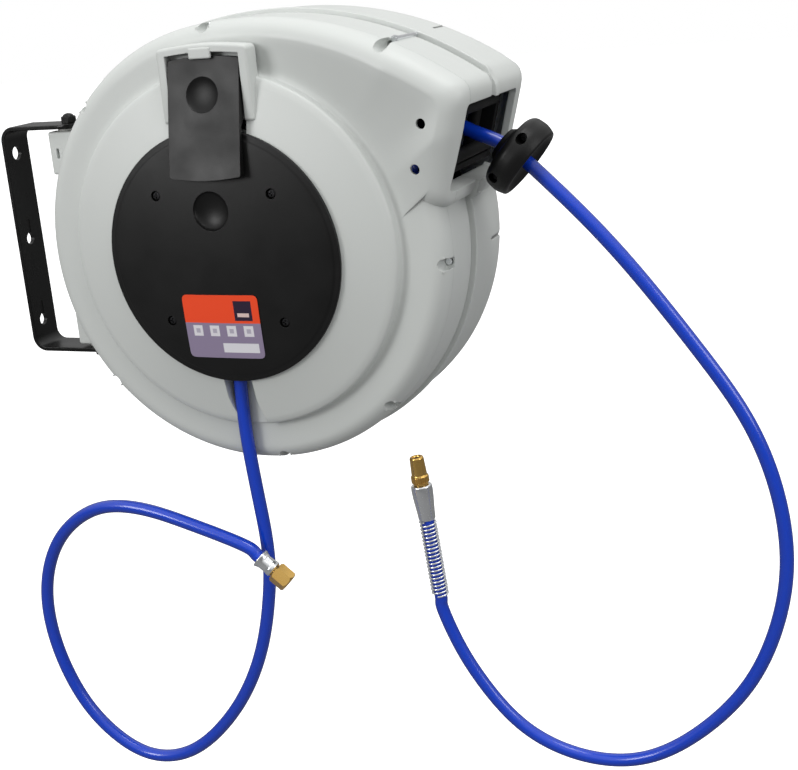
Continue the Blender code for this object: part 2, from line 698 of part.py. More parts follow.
def feed_point(distance):
    """A point of the straight hose, measured from where it leaves the drum."""
    angle = math.radians(FEED_ANGLE)
    return (FEED_R * math.sin(angle) + distance * math.cos(angle), 0,
            FEED_R * math.cos(angle) - distance * math.sin(angle))


def stop_point(along, y=0.0, across=0.0):
    angle = math.radians(STOP_ANGLE)
    return (STOP_X + along * math.cos(angle) + across * math.sin(angle), y,
            STOP_Z - along * math.sin(angle) + across * math.cos(angle))


OUTLET_LOOP = [(309, 0, -8), (372, 2, -90), (421, 3, -164), (445, 3, -243), (444, 3, -321),
               (412, 3, -407), (342, 3, -477), (275, 3, -494), (208, 3, -472), (159, 3, -412)]
OUTLET_END, OUTLET_TIP = Vector((134, 3, -342)), Vector((120.5, 3, -200))


def outlet():
    along = (OUTLET_TIP - OUTLET_END).normalized()
    straight = [feed_point(-70), feed_point(135)]
    bend = [feed_point(146), stop_point(-14), stop_point(14)]
    path = [Vector(straight[0])] + smooth_path(
        [straight[1]] + bend + OUTLET_LOOP + [OUTLET_END - along * 16, OUTLET_END - along * 3], 3)
    path.append(OUTLET_END + along * 82)
    place("outlet_hose", wire("outlet_hose", path, HOSE_R, 1), "hose")

    def fitting(profile, name, finish, steps):
        place(name, turned(name, profile, OUTLET_END, along, steps), finish)

    fitting([(HOSE_R + 0.5, 111), (9.5, 111), (9.5, 99), (7.6, 82), (7.6, 77), (HOSE_R + 0.5, 77)],
            "outlet_ferrule", "steel", 18)
    fitting([(0, 138), (6.4, 138), (6.9, 120), (8.6, 120), (8.6, 111.4), (5.4, 111.4), (5.0, 84),
             (0, 84)], "outlet_nipple", "brass", 18)
    turns, per_turn = 10, 8
    frame = along.to_track_quat("Z", "Y")
    reach = HOSE_R + 2.0
    coil = [OUTLET_END + frame @ Vector((
        reach * math.cos(2 * math.pi * i / per_turn), reach * math.sin(2 * math.pi * i / per_turn),
        2 + 73 * i / (turns * per_turn))) for i in range(turns * per_turn + 1)]
    place("strain_relief_spring", wire("strain_relief_spring", coil, 1.0, 0), "steel")


def hose_stop():
    """Two halves clamped round the hose by two screws."""
    direction = Vector(stop_point(1)) - Vector(stop_point(0))
    profile = [(0, STOP_HALF - 3), (14, STOP_HALF - 3), (29, STOP_HALF + 2), (STOP_R - 1.5, STOP_HALF),
               (STOP_R, 4), (STOP_R, -8), (STOP_R - 3, -STOP_HALF), (16, -STOP_HALF - 3), (12, -18),
               (0, -18)]
    for name, low, high in (("hose_stop_front", -45, -JOINT), ("hose_stop_rear", JOINT, 45)):
        half = turned(name, profile, stop_point(0), direction, 22)
        side = box("half", (STOP_X - 60, low, STOP_Z - 60), (STOP_X + 60, high, STOP_Z + 60))
        boolean(half, "INTERSECT", side)
        cut(half, rod("hose_bore", 6.9, -40, 40, stop_point(0), direction, 16))
        for across in (20, -20):
            cut(half, rod("stop_bore", 2.3, -45, 13, stop_point(-2, 0, across), steps=10),
                rod("stop_head", 4.3, -45, -14, stop_point(-2, 0, across), steps=12))
        place(name, half, "black")
    for number, across in enumerate((20, -20), 1):
        profile = [(0, 12), (2.0, 12), (2.0, -14.4), (3.6, -14.4), (3.6, -17.5), (0, -17.5)]
        screw = turned("screw", profile, stop_point(-2, 0, across), steps=8)
        place(f"stop_screw_{number}", screw, "steel")


INLET_PATH = [(0, -77, -27), (-3, -76, -60), (-6, -75, -110), (-7, -74.5, -160), (-4, -72, -220),
              (-1, -71, -265), (-4, -70, -310), (-21, -70, -380), (-56, -70, -445), (-110, -71, -498),
              (-168, -72, -508), (-221, -74, -467), (-247, -77, -400), (-247, -80, -333),
              (-219, -84, -275), (-170, -88, -239), (-118, -90, -234), (-62, -91, -247)]
INLET_END, INLET_TIP = Vector((1, -91, -273)), Vector((32, -91, -299))


def inlet():
    along = (INLET_TIP - INLET_END).normalized()
    path = smooth_path(INLET_PATH + [INLET_END - along * 16, INLET_END - along * 4], 2)
    path.append(INLET_END + along * 13)
    place("inlet_hose", wire("inlet_hose", path, HOSE_R, 1), "hose")
    place("inlet_ferrule", turned("inlet_ferrule", [
        (3.0, 18), (7.4, 18), (7.4, 14.5), (6.9, 14.5), (6.9, 4), (7.6, 0), (HOSE_R + 0.35, 0),
        (HOSE_R + 0.35, 14.0), (3.0, 14.0)], INLET_END, along, 18), "steel")
    nut = plate("inlet_nut", hex_points(17.0), 16.0, INLET_END + along * 26.5, along)
    cut(nut, rod("nut_thread", 6.2, 21, 45, INLET_END, along, 16))
    place("inlet_nut", nut, "brass")


# ---------------------------------------------------------------- wall bracket

def corner_arc(centre, radius, start, end, steps=4):
    return [(centre[0] + radius * math.cos(math.radians(start + (end - start) * i / steps)),
             centre[1] + radius * math.sin(math.radians(start + (end - start) * i / steps)))
            for i in range(steps + 1)]


def wall_bracket():
    """A steel strip bent to a U, with a pivot hole in each arm and fixing holes in the web."""
    left, right = STRIP_X - STRIP_T / 2, STRIP_X + STRIP_T / 2
    top, tip = ARM_Z + STRIP_T, PIVOT_X + STRIP_W / 2
    outer, inner = CORNER_R, CORNER_R - STRIP_T
    section = [(tip, top)]
    section += corner_arc((left + outer, top - outer), outer, 90, 180)
    section += corner_arc((left + outer, -top + outer), outer, 180, 270)
    section += [(tip, -top), (tip, -ARM_Z)]
    section += corner_arc((right + inner, -ARM_Z + inner), inner, 270, 180)
    section += corner_arc((right + inner, ARM_Z - inner), inner, 180, 90)
    section += [(tip, ARM_Z)]
    strip = plate("wall_bracket", section, STRIP_W, (0, 0, 0), (0, -1, 0))
    cut(strip, rod("pivot_hole", 4.3, -150, 150, (PIVOT_X, 0, 0), (0, 0, 1), 16))
    cut(strip, rod("wall_hole", 6.5, -10, 10, (STRIP_X, -2, WALL_HOLE_Z), (1, 0, 0), 18))
    for z in KEYHOLE_Z:
        cut(strip, rod("keyhole", 5.5, -10, 10, (STRIP_X, -2, z), (1, 0, 0), 16))
        cut(strip, box("keyhole_slot", (STRIP_X - 10, -4.5, z), (STRIP_X + 10, 0.5, z + KEYHOLE_RISE)))
    place("wall_bracket", strip, "paint")


def pivots():
    """A shouldered bolt and a flanged bush at each end of the swivel axis."""
    for name, side in (("top", 1), ("bottom", -1)):
        up = (0, 0, side)
        bolt = plate(f"pivot_bolt_{name}", hex_points(13.0), 5.5, (PIVOT_X, 0, side * 111.1), up)
        join(bolt, rod("bolt_shank", 4.0, 78, 110, (PIVOT_X, 0, 0), up, 14))
        place(f"pivot_bolt_{name}", bolt, "steel")
        bush = [(4.3, 103.7), (11, 103.7), (11, 101.8), (6.5, 101.8), (6.5, 76), (4.3, 76)]
        place(f"pivot_bush_{name}", turned("bush", bush, (PIVOT_X, 0, 0), up, 16), "nylon")


def move_to_wall_frame():
    """Shifts the pieces and their cutters together, from the drum axis to the wall's origin."""
    for obj in list(PARTS.objects) + list(TOOLS.objects):
        obj.location -= ORIGIN * MM


def main():
    front_shell()
    rear_shell()
    shell_screws()
    front_cover()
    label()
    ratchet_lever()
    ratchet_ring()
    pawl()
    pawl_spring()
    drum()
    hose_coil()
    spring_case()
    power_spring()
    axle()
    roller_guide()
    outlet()
    hose_stop()
    inlet()
    wall_bracket()
    pivots()
    move_to_wall_frame()


main()
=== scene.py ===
import math

import bmesh
import bpy
from mathutils import Matrix, Vector


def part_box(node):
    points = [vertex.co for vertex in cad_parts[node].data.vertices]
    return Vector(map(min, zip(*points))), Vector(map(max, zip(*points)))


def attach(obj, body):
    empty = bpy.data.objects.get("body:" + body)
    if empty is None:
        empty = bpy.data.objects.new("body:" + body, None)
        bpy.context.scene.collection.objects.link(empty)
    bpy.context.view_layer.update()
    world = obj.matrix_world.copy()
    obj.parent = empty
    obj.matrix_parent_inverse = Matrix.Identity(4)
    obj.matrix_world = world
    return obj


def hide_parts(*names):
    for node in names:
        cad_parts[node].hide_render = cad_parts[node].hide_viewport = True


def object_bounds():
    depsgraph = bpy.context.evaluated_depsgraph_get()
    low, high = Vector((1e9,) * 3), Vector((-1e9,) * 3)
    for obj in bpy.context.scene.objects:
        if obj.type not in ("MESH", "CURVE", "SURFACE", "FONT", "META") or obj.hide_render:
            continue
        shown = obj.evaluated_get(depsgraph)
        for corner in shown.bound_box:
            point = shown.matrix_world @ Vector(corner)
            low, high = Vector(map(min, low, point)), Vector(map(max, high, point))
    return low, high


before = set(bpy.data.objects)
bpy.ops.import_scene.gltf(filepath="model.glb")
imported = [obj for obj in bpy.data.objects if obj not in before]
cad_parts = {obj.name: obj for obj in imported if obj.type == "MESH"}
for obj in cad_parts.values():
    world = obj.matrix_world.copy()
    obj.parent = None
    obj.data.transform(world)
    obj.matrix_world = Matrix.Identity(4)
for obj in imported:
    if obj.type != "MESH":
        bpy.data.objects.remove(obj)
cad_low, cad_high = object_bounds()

# Looks of the retractable air hose reel. Shapes are worked out in millimetres around the drum
# axis, in the plane where the shells meet, and then moved to the row frame by ROW. X points out
# of the nose, Y to the back and Z up, so a depth in front of the joint is negative.
MM = 0.001
axle_low, axle_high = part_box("axle")
HUB = Vector(((axle_low.x + axle_high.x) / 2, 0.0, (axle_low.z + axle_high.z) / 2))
ROW = Matrix.Translation(HUB) @ Matrix.Scale(MM, 4)


def local_box(node):
    """A CAD node's box in millimetres about the drum axis."""
    low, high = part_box(node)
    return (low - HUB) / MM, (high - HUB) / MM


# Housing: its outline is a circle, with a nose that has a top arc and a leaning face
RIM_R = 190.0
TOP_R, TOP_START = 330.0, 100.0      # the top arc, and the angle where it leaves the circle
FACE_LEAN, FACE_DIST = 15.0, 179.3
UNDER_ANGLE = 10.0                   # where the nose's lower edge meets the circle
UNDER_BLEND, UNDER_DROP = 1.8, 5.5   # degrees taken by that edge's round, and its fall
CORNER_BLEND = 14.0                  # round between the top arc and the face
NOSE_FLARE, BACK_FLARE = 0.2, 0.05   # how much wider the nose gets to the front and back
FLARE_FRONT_Y, FLARE_FRONT_RUN = -28.0, 18.0
FLARE_BACK_Y, FLARE_BACK_RUN = 40.0, 30.0
NOSE_ROUND = 0.4                     # how much broader the front rounding gets on the nose
NOSE_FULL = 40.0                     # the nose's flare and round are full this far past the circle
CIRCLE_STEPS, NOSE_STEPS = 168, 84
WALL = 3.5
JOINT = 0.15                         # half the gap between the shells
BAND_RISE, REAR_RISE = 3.6, 2.0      # how far the rear shell's band and rim stand above the front
SIDE_Y, BACK_Y, FLOOR_Y = -66.5, 88.0, -66.0
ROUND_Y = -47.0                      # the front rounding begins here
PLATEAU_R = 149.0                    # the raised round plateau on the front
WINDOW_U, WINDOW_H, WINDOW_W = 136.5, 60.0, 124.0    # its middle up the face, height and width
WINDOW_SILL = 11.0                   # how much lower the opening is than the guide behind it
SILL_DEPTH, SILL_FRONT = 15.0, 4.2   # the sill's far and near edges, behind the face
SCREW_ANGLES = (93.0, 47.5, -4.0, -46.5, -83.0, -139.6, 137.0)
CHANNEL_R, CHANNEL_BORE_R = 5.2, 3.3
NOSE_HOLES, NOSE_HOLE_R = ((181.0, 103.0), (172.0, 67.0)), 4.2
LUG_X, LUG_Z, LUG_BORE_R = (-212, -160), (62.0, 101.5), 6.8
BEYOND = 110.0                       # cutters that open to the front or back end out here

# Front cover and ratchet lever
COVER_Y, COVER_DOME, COVER_R = -92.0, 7.0, 108.0
COVER_SCREWS = [(54, 54), (-54, 54), (-54, -54), (54, -54)]
SCREW_HEAD_R = 3.9
FINGER_CUP = (-2, 0, 41)
HINGE, HINGE_R = (0, -81.0, 160.0), 2.4
LEVER_HALF, LEVER_BOW = 33.0, 2.6
LEVER_TOP, LEVER_LOW = 165.3, 67.0
POCKET_TOP, POCKET_BOW = 166.4, 2.2

# Guide in the nose
GUIDE_HALF, GUIDE_OPENING = (59.5, 32.0), (52.0, 26.5)
ROLLER_R, ROLLER_BORE_R = 5.4, 2.3
LEVEL_ROLLER, UPRIGHT_ROLLER = 51.0, 26.0            # half their lengths

# Hoses and fittings
HOSE_R = 6.0
SLEEVE_R = HOSE_R + 0.5              # bore of the crimped ferrules
FEED_ANGLE, FEED_R = 25.0, 161.4     # slope of the run from the drum, and its tangent radius
STOP_X, STOP_Z, STOP_ANGLE = 235.0, 65.5, 40.0
STOP_SCREWS = (20, -20)
OUTLET_LOOP = [
    (309, 0, -8), (372, 2, -90), (421, 3, -164), (445, 3, -243), (444, 3, -321),
    (412, 3, -407), (342, 3, -477), (275, 3, -494), (208, 3, -472), (159, 3, -412),
]
OUTLET_END, OUTLET_TIP = Vector((134, 3, -342)), Vector((120.5, 3, -200))
INLET_LOOP = [
    (0, -77, -27), (-3, -76, -60), (-6, -75, -110), (-7, -74.5, -160), (-4, -72, -220),
    (-1, -71, -265), (-4, -70, -310), (-21, -70, -380), (-56, -70, -445), (-110, -71, -498),
    (-168, -72, -508), (-221, -74, -467), (-247, -77, -400), (-247, -80, -333),
    (-219, -84, -275), (-170, -88, -239), (-118, -90, -234), (-62, -91, -247),
]
INLET_END, INLET_TIP = Vector((1, -91, -273)), Vector((32, -91, -299))

# Bracket: a strip bent to a U, with its arms above and below the housing's pivot lugs
PIVOT_X, STRIP_X, STRIP_W, STRIP_T = -196.0, -260.0, 36.0, 4.0
ARM_Z, CORNER_R = 104.0, 14.0
PIVOT, PIVOT_HOLE_R = (PIVOT_X, 0, 0), 4.3
WALL_HOLE_Z, WALL_HOLE_R = 82, 6.5
KEYHOLES_Z, KEYHOLE_R, KEYHOLE_SLOT_R = (0.0, -80.0), 5.5, 2.5
HOLES_Y = -2.0                       # the holes sit a little in front of the strip's middle

# Directions, and places for flat outlines: (u, v, w) becomes (u, -w, v), or (w, u, v)
FRONT, BACK, RIGHT = (0, -1, 0), (0, 1, 0), (1, 0, 0)
ON_FRONT = Matrix(((1, 0, 0, 0), (0, 0, -1, 0), (0, 1, 0, 0), (0, 0, 0, 1)))
ON_SIDE = Matrix(((0, 0, 1, 0), (1, 0, 0, 0), (0, 1, 0, 0), (0, 0, 0, 1)))


# ---------------------------------------------------------------- materials

class Nodes:
    """A new material's node tree, with short ways to add nodes and links."""

    def __init__(self, name):
        self.mat = bpy.data.materials.new(name)
        self.mat.use_nodes = True
        self.tree = self.mat.node_tree
        self.shader = self.tree.nodes["Principled BSDF"]

    def feed(self, socket, value):
        """Links an output to the socket, or sets its value."""
        if isinstance(value, bpy.types.NodeSocket):
            self.tree.links.new(value, socket)
        else:
            socket.default_value = value

    def set(self, name, value):
        self.feed(self.shader.inputs[name], value)

    def add(self, kind, **inputs):
        node = self.tree.nodes.new(kind)
        for key, value in inputs.items():
            self.feed(node.inputs[key.replace("_", " ")], value)
        return node

    def calc(self, operation, *values):
        node = self.tree.nodes.new("ShaderNodeMath")
        node.operation = operation
        for socket, value in zip(node.inputs, values):
            self.feed(socket, value)
        return node.outputs[0]

    def mix(self, factor, a, b):
        """Blends two colours or colour sockets."""
        node = self.tree.nodes.new("ShaderNodeMix")
        node.data_type = "RGBA"
        for index, value in ((0, factor), (6, a), (7, b)):
            self.feed(node.inputs[index], value)
        return node.outputs[2]

    def coordinates(self):
        return self.tree.nodes.new("ShaderNodeTexCoord").outputs["Object"]

    def noise(self, scale, detail=3.0, vector=None):
        where = vector or self.coordinates()
        return self.add("ShaderNodeTexNoise", Vector=where, Scale=scale, Detail=detail).outputs["Fac"]

    def spread(self, value, low, high):
        """Stretches the middle of a noise to run from low to high."""
        ends = {"From_Min": 0.3, "From_Max": 0.7, "To_Min": low, "To_Max": high}
        return self.add("ShaderNodeMapRange", Value=value, **ends).outputs[0]

    def bump(self, height, distance, strength=1.0, soften=0.0):
        node = self.add("ShaderNodeBump", Height=height, Distance=distance, Strength=strength)
        if soften:
            edge = self.add("ShaderNodeBevel", Radius=soften)
            edge.samples = 4
            self.feed(node.inputs["Normal"], edge.outputs[0])
        self.set("Normal", node.outputs[0])


def rgb(red, green, blue):
    return (red, green, blue, 1.0)


def grey(level):
    return (level, level, level)


def moulded(name, color, dark, rough, grain, depth, soften=0.0, shine=0.5):
    """Injection-moulded plastic: faint flow marks, a fine spark grain and uneven sheen."""
    m = Nodes(name)
    clouds = m.noise(9.0, 4.0)
    fine = m.noise(grain, 2.0)
    m.set("Base Color", m.mix(clouds, rgb(*dark), rgb(*color)))
    m.set("Roughness", m.spread(m.noise(34.0, 5.0), rough - 0.05, rough + 0.06))
    m.set("Specular IOR Level", shine)
    m.bump(fine, depth, 0.6, soften)
    return m.mat


def metal(name, color, rough, scale, streak=(1, 1, 1), wear=(0.0, 0.0, 0.0)):
    """Bright metal with fine machining streaks along one axis and duller patches."""
    m = Nodes(name)
    stretched = m.add("ShaderNodeMapping", Vector=m.coordinates(), Scale=streak)
    lines = m.noise(scale, 3.0, stretched.outputs[0])
    patches = m.noise(60.0, 4.0)
    dull = [c * (1 - w) for c, w in zip(color, wear)]
    m.set("Base Color", m.mix(patches, rgb(*dull), rgb(*color)))
    m.set("Metallic", 1.0)
    m.set("Roughness", m.spread(lines, rough - 0.05, rough + 0.08))
    m.bump(lines, 0.00002, 0.5)
    return m.mat


def hose_material():
    """Glossy blue polyurethane with a faint extrusion ripple; its colour is painted darker towards the
    outline, as painted shade.
    """
    m = Nodes("hose_blue")
    # Painted shade: the blue is bright where the hose faces the camera and darker where it turns away,
    # towards its outline.
    facing = m.add("ShaderNodeLayerWeight", Blend=0.35).outputs["Facing"]
    m.set("Base Color", m.mix(facing, rgb(0.003, 0.050, 0.56), rgb(0.002, 0.014, 0.15)))
    m.set("Roughness", 0.22)
    m.set("Coat Weight", 0.25)
    m.set("Coat Roughness", 0.08)
    m.set("Subsurface Weight", 0.05)
    m.bump(m.noise(420.0, 2.0), 0.00003, 0.4)
    return m.mat


def label_material():
    """Printed film: warm red upper part, mauve lower part, plain pale and dark blocks."""
    m = Nodes("label_print")
    low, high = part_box("label")
    place = {"Location": (low.x, 0, low.z), "Scale": (high.x - low.x, 1, high.z - low.z)}
    where = m.add("ShaderNodeMapping", Vector=m.coordinates(), **place)
    where.vector_type = "TEXTURE"
    split = m.add("ShaderNodeSeparateXYZ", Vector=where.outputs[0])
    u, v = split.outputs["X"], split.outputs["Z"]

    def area(left, right, bottom, top):
        """1 inside the area, given in shares of the label's width and height."""
        across = m.calc("MULTIPLY", m.calc("GREATER_THAN", u, left), m.calc("LESS_THAN", u, right))
        up = m.calc("MULTIPLY", m.calc("GREATER_THAN", v, bottom), m.calc("LESS_THAN", v, top))
        return m.calc("MULTIPLY", across, up)

    color = m.mix(m.calc("GREATER_THAN", v, 0.56), rgb(0.27, 0.22, 0.33), rgb(0.90, 0.07, 0.015))
    color = m.mix(area(0.68, 0.91, 0.60, 0.91), color, rgb(0.02, 0.008, 0.03))
    color = m.mix(area(0.72, 0.87, 0.66, 0.72), color, rgb(0.75, 0.55, 0.52))
    for i in range(4):
        left = 0.10 + 0.225 * i
        color = m.mix(area(left, left + 0.125, 0.35, 0.52), color, rgb(0.74, 0.72, 0.76))
        color = m.mix(area(left + 0.035, left + 0.09, 0.40, 0.47), color, rgb(0.45, 0.42, 0.50))
    color = m.mix(area(0.47, 0.94, 0.09, 0.24), color, rgb(0.74, 0.73, 0.77))
    m.set("Base Color", color)
    m.set("Roughness", 0.32)
    m.bump(m.noise(900.0, 2.0), 0.00001, 0.3)
    return m.mat


# Plastics: colour, its darker clouds, roughness, grain scale and grain depth in metres
SHELL = moulded("shell_grey", (0.60, 0.62, 0.60), (0.565, 0.588, 0.57), 0.42, 1500.0, 0.00006,
                soften=0.0011)
BLACK = moulded("black_satin", grey(0.004), grey(0.002), 0.42, 1900.0, 0.00004, soften=0.0006, shine=0.3)
DRUM = moulded("drum_black", grey(0.002), grey(0.001), 0.7, 900.0, 0.00005, shine=0.3)
NYLON = moulded("nylon_white", (0.74, 0.74, 0.71), (0.68, 0.68, 0.65), 0.45, 1200.0, 0.00003)
RUBBER = moulded("seal_rubber", grey(0.02), grey(0.013), 0.7, 1200.0, 0.00004)
PAINT = moulded("bracket_paint", grey(0.003), grey(0.002), 0.3, 700.0, 0.00008, soften=0.0004, shine=0.3)

# Metals: colour, roughness and streak scale
STEEL = metal("bright_steel", (0.86, 0.87, 0.88), 0.2, 900.0, wear=(0.12, 0.1, 0.08))
SPRING = metal("spring_steel", (0.80, 0.82, 0.85), 0.14, 700.0)
BLACK_STEEL = metal("black_steel", (0.035, 0.035, 0.037), 0.35, 900.0)
BRASS = metal("turned_brass", (0.86, 0.56, 0.17), 0.2, 1100.0, streak=(1, 1, 4), wear=(0.12, 0.2, 0.3))
HOSE = hose_material()
LABEL = label_material()


# ---------------------------------------------------------------- making pieces

def piece_from(name, build):
    """Runs build on an empty bmesh in hub millimetres and returns the object in the row frame."""
    bm = bmesh.new()
    build(bm)
    bmesh.ops.recalc_face_normals(bm, faces=bm.faces)
    if bm.calc_volume(signed=True) < 0:
        bmesh.ops.reverse_faces(bm, faces=bm.faces)
    bmesh.ops.transform(bm, matrix=ROW, verts=bm.verts)
    mesh = bpy.data.meshes.new(name)
    bm.to_mesh(mesh)
    bm.free()
    obj = bpy.data.objects.new(name, mesh)
    bpy.context.scene.collection.objects.link(obj)
    return obj


def bake(obj):
    """Applies every modifier."""
    bpy.context.view_layer.update()
    evaluated = obj.evaluated_get(bpy.context.evaluated_depsgraph_get())
    mesh = bpy.data.meshes.new_from_object(evaluated)
    obj.modifiers.clear()
    obj.data = mesh
    return obj


def boolean(obj, operation, other):
    modifier = obj.modifiers.new("Boolean", "BOOLEAN")
    modifier.operation = operation
    modifier.solver = "EXACT"
    modifier.object = other
    bake(obj)
    bpy.data.objects.remove(other, do_unlink=True)


def cut(obj, other):
    boolean(obj, "DIFFERENCE", other)


def join(obj, other):
    boolean(obj, "UNION", other)


def trim(obj, other):
    boolean(obj, "INTERSECT", other)


def bevel(obj, width, segments=3, angle=35.0):
    modifier = obj.modifiers.new("Bevel", "BEVEL")
    modifier.width = width * MM
    modifier.segments = segments
    modifier.limit_method = "ANGLE"
    modifier.angle_limit = math.radians(angle)
    return bake(obj)


def dress(obj, body, mat, node, angle=30.0):
    """Smooth shading, material, and the CAD body and node that the piece belongs to."""
    obj.data.materials.clear()
    obj.data.materials.append(mat)
    obj.data.shade_smooth()
    obj.data.set_sharp_from_angle(angle=math.radians(angle))
    weighted = obj.modifiers.new("Normals", "WEIGHTED_NORMAL")
    weighted.keep_sharp = True
    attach(obj, body)
    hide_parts(node)


def polar(radius, degrees):
    angle = math.radians(degrees)
    return radius * math.cos(angle), radius * math.sin(angle)


def smoothstep(t):
    t = min(1.0, max(0.0, t))
    return t * t * (3 - 2 * t)


def rounded(points, radius, closed=False, steps=4):
    """A polyline with its corners rounded; radius is one number or one for each point."""
    count = len(points)
    radii = radius if isinstance(radius, (list, tuple)) else [radius] * count
    result = []
    for i, point in enumerate(points):
        here = Vector(point)
        at_end = not closed and i in (0, count - 1)
        if at_end or radii[i] == 0:
            result.append(tuple(here))
            continue
        before = Vector(points[i - 1]) - here
        after = Vector(points[(i + 1) % count]) - here
        reach = min(radii[i], before.length * 0.49, after.length * 0.49)
        start = here + before.normalized() * reach
        end = here + after.normalized() * reach
        for k in range(steps + 1):
            t = k / steps
            result.append(tuple(start * (1 - t) ** 2 + here * 2 * t * (1 - t) + end * t * t))
    return result


def softened(corners, closed=False, steps=4):
    """A rounded polyline from (u, v, rounding) corners."""
    return rounded([corner[:2] for corner in corners], [corner[2] for corner in corners], closed, steps)


def bowed(half, height, bow, steps):
    """Points of a shallow arch from u = half to u = -half, which rises by bow in the middle."""
    return [(half - 2 * half * k / steps, height + bow * math.sin(math.pi * k / steps))
            for k in range(steps + 1)]


def oblong(half_u, half_v, radius):
    corners = [(-half_u, -half_v), (half_u, -half_v), (half_u, half_v), (-half_u, half_v)]
    return rounded(corners, radius, closed=True)


def hexagon(across_flats):
    return [polar(across_flats / math.sqrt(3), degrees) for degrees in range(0, 360, 60)]


def bowl(radius, rim, depth, lip, top):
    """Profile that cuts a round bowl: its rim flares by 1 mm over the height lip, up to top."""
    turns = [math.pi / 2 * k / 8 for k in range(1, 9)]
    inside = [(radius * math.sin(a), rim - depth * math.cos(a)) for a in turns]
    return [(0, rim - depth)] + inside + [(radius + 1, rim + lip), (radius + 1, top), (0, top)]


def placed(centre, direction):
    """Local Z along direction, at centre, in hub millimetres."""
    turn = Vector(direction).to_track_quat("Z", "Y").to_matrix().to_4x4()
    return Matrix.Translation(Vector(centre)) @ turn


def bridge(bm, near, far):
    """Faces between two rings of vertices; a ring of one vertex is a tip on the axis."""
    steps = max(len(near), len(far))
    for i in range(steps):
        j = (i + 1) % steps
        a = [near[i], near[j]] if len(near) > 1 else [near[0]]
        b = [far[j], far[i]] if len(far) > 1 else [far[0]]
        bm.faces.new(a + b)


def turned(name, profile, centre=(0, 0, 0), direction=BACK, steps=64):
    """A turned solid from (radius, height) points; ends at radius 0 close on the axis."""
    place = placed(centre, direction)
    angles = [2 * math.pi * i / steps for i in range(steps)]

    def ring(bm, r, h):
        if r < 1e-6:
            return [bm.verts.new(place @ Vector((0, 0, h)))]
        return [bm.verts.new(place @ Vector((r * math.cos(a), r * math.sin(a), h))) for a in angles]

    def build(bm):
        rings = [ring(bm, r, h) for r, h in profile]
        pairs = list(zip(rings, rings[1:]))
        if len(rings[0]) > 1 or len(rings[-1]) > 1:
            pairs.append((rings[-1], rings[0]))
        for near, far in pairs:
            bridge(bm, near, far)
    return piece_from(name, build)


def rod(radius, low, high, centre=(0, 0, 0), direction=BACK, steps=32):
    """A plain cylinder, as a cutter or as part of a piece."""
    return turned("rod", [(0, low), (radius, low), (radius, high), (0, high)], centre, direction, steps)


def prism(name, outline, low, high, place):
    """A flat (u, v) outline drawn out along local Z from low to high."""
    def build(bm):
        near = [bm.verts.new(place @ Vector((u, v, low))) for u, v in outline]
        far = [bm.verts.new(place @ Vector((u, v, high))) for u, v in outline]
        bm.faces.new(near[::-1])
        bm.faces.new(far)
        bridge(bm, near, far)
    return piece_from(name, build)


def block(name, low, high, radius=0.0, place=Matrix.Identity(4)):
    """A box with rounded edges."""
    middle = (Vector(low) + Vector(high)) / 2
    size = Vector(high) - Vector(low)
    solid = Matrix.Translation(middle) @ Matrix.Diagonal((*size, 1.0))
    obj = piece_from(name, lambda bm: bmesh.ops.create_cube(bm, size=1.0, matrix=place @ solid))
    return bevel(obj, radius, 4) if radius else obj


def tube(name, path, radius, sides=24):
    """A round tube along a dense path, closed at both ends."""
    points = [Vector(p) for p in path]
    before, after = [points[0]] + points[:-1], points[1:] + [points[-1]]
    tangents = [(b - a).normalized() for a, b in zip(before, after)]
    turns = [2 * math.pi * i / sides for i in range(sides)]

    def build(bm):
        side = tangents[0].orthogonal().normalized()
        rings = []
        for point, tangent in zip(points, tangents):
            side = (side - tangent * side.dot(tangent)).normalized()
            up = tangent.cross(side)
            around = [point + radius * (side * math.cos(a) + up * math.sin(a)) for a in turns]
            rings.append([bm.verts.new(spot) for spot in around])
        for near, far in zip(rings, rings[1:]):
            bridge(bm, near, far)
        bm.faces.new(rings[0][::-1])
        bm.faces.new(rings[-1])
    return piece_from(name, build)


def smooth_path(controls, per_span=14):
    """A Catmull-Rom curve through the control points."""
    points = [Vector(c) for c in controls]
    ends = [2 * points[0] - points[1]] + points + [2 * points[-1] - points[-2]]
    path = []
    for a, b, c, d in zip(ends, ends[1:], ends[2:], ends[3:]):
        for i in range(per_span):
            t = i / per_span
            bend = (2 * a - 5 * b + 4 * c - d) * t * t
            twist = (3 * b - a - 3 * c + d) * t ** 3
            path.append(0.5 * (2 * b + (c - a) * t + bend + twist))
    return path + [points[-1]]


def relaxed(path, rounds=30):
    """Evens out a dense path's curvature, with its ends held."""
    points = [p.copy() for p in path]
    for _ in range(rounds):
        inner = [(a + 2 * b + c) / 4 for a, b, c in zip(points, points[1:], points[2:])]
        points = [points[0]] + inner + [points[-1]]
    return points


# ---------------------------------------------------------------- housing outline

def nose_parts(angle, inset):
    """The reach of the nose's top arc and of its face at an angle, and the face's share."""
    tilt = min(angle + FACE_LEAN, 80.0)
    face = (FACE_DIST - inset) / math.cos(math.radians(tilt))
    drop = TOP_R - RIM_R
    rise = drop * math.cos(math.radians(TOP_START - angle))
    top = -rise + math.sqrt(rise ** 2 + (TOP_R - inset) ** 2 - drop ** 2)
    share = min(1.0, max(0.0, 0.5 + (top - face) / (2 * CORNER_BLEND)))
    return top, face, share


def nose_reach(angle, inset):
    top, face, share = nose_parts(angle, inset)
    return top * (1 - share) + face * share - CORNER_BLEND * share * (1 - share)


def on_nose(angle):
    return UNDER_ANGLE < angle < TOP_START


def rim_point(angle, inset):
    reach = nose_reach(angle, inset) if on_nose(angle) else RIM_R - inset
    return polar(reach, angle)


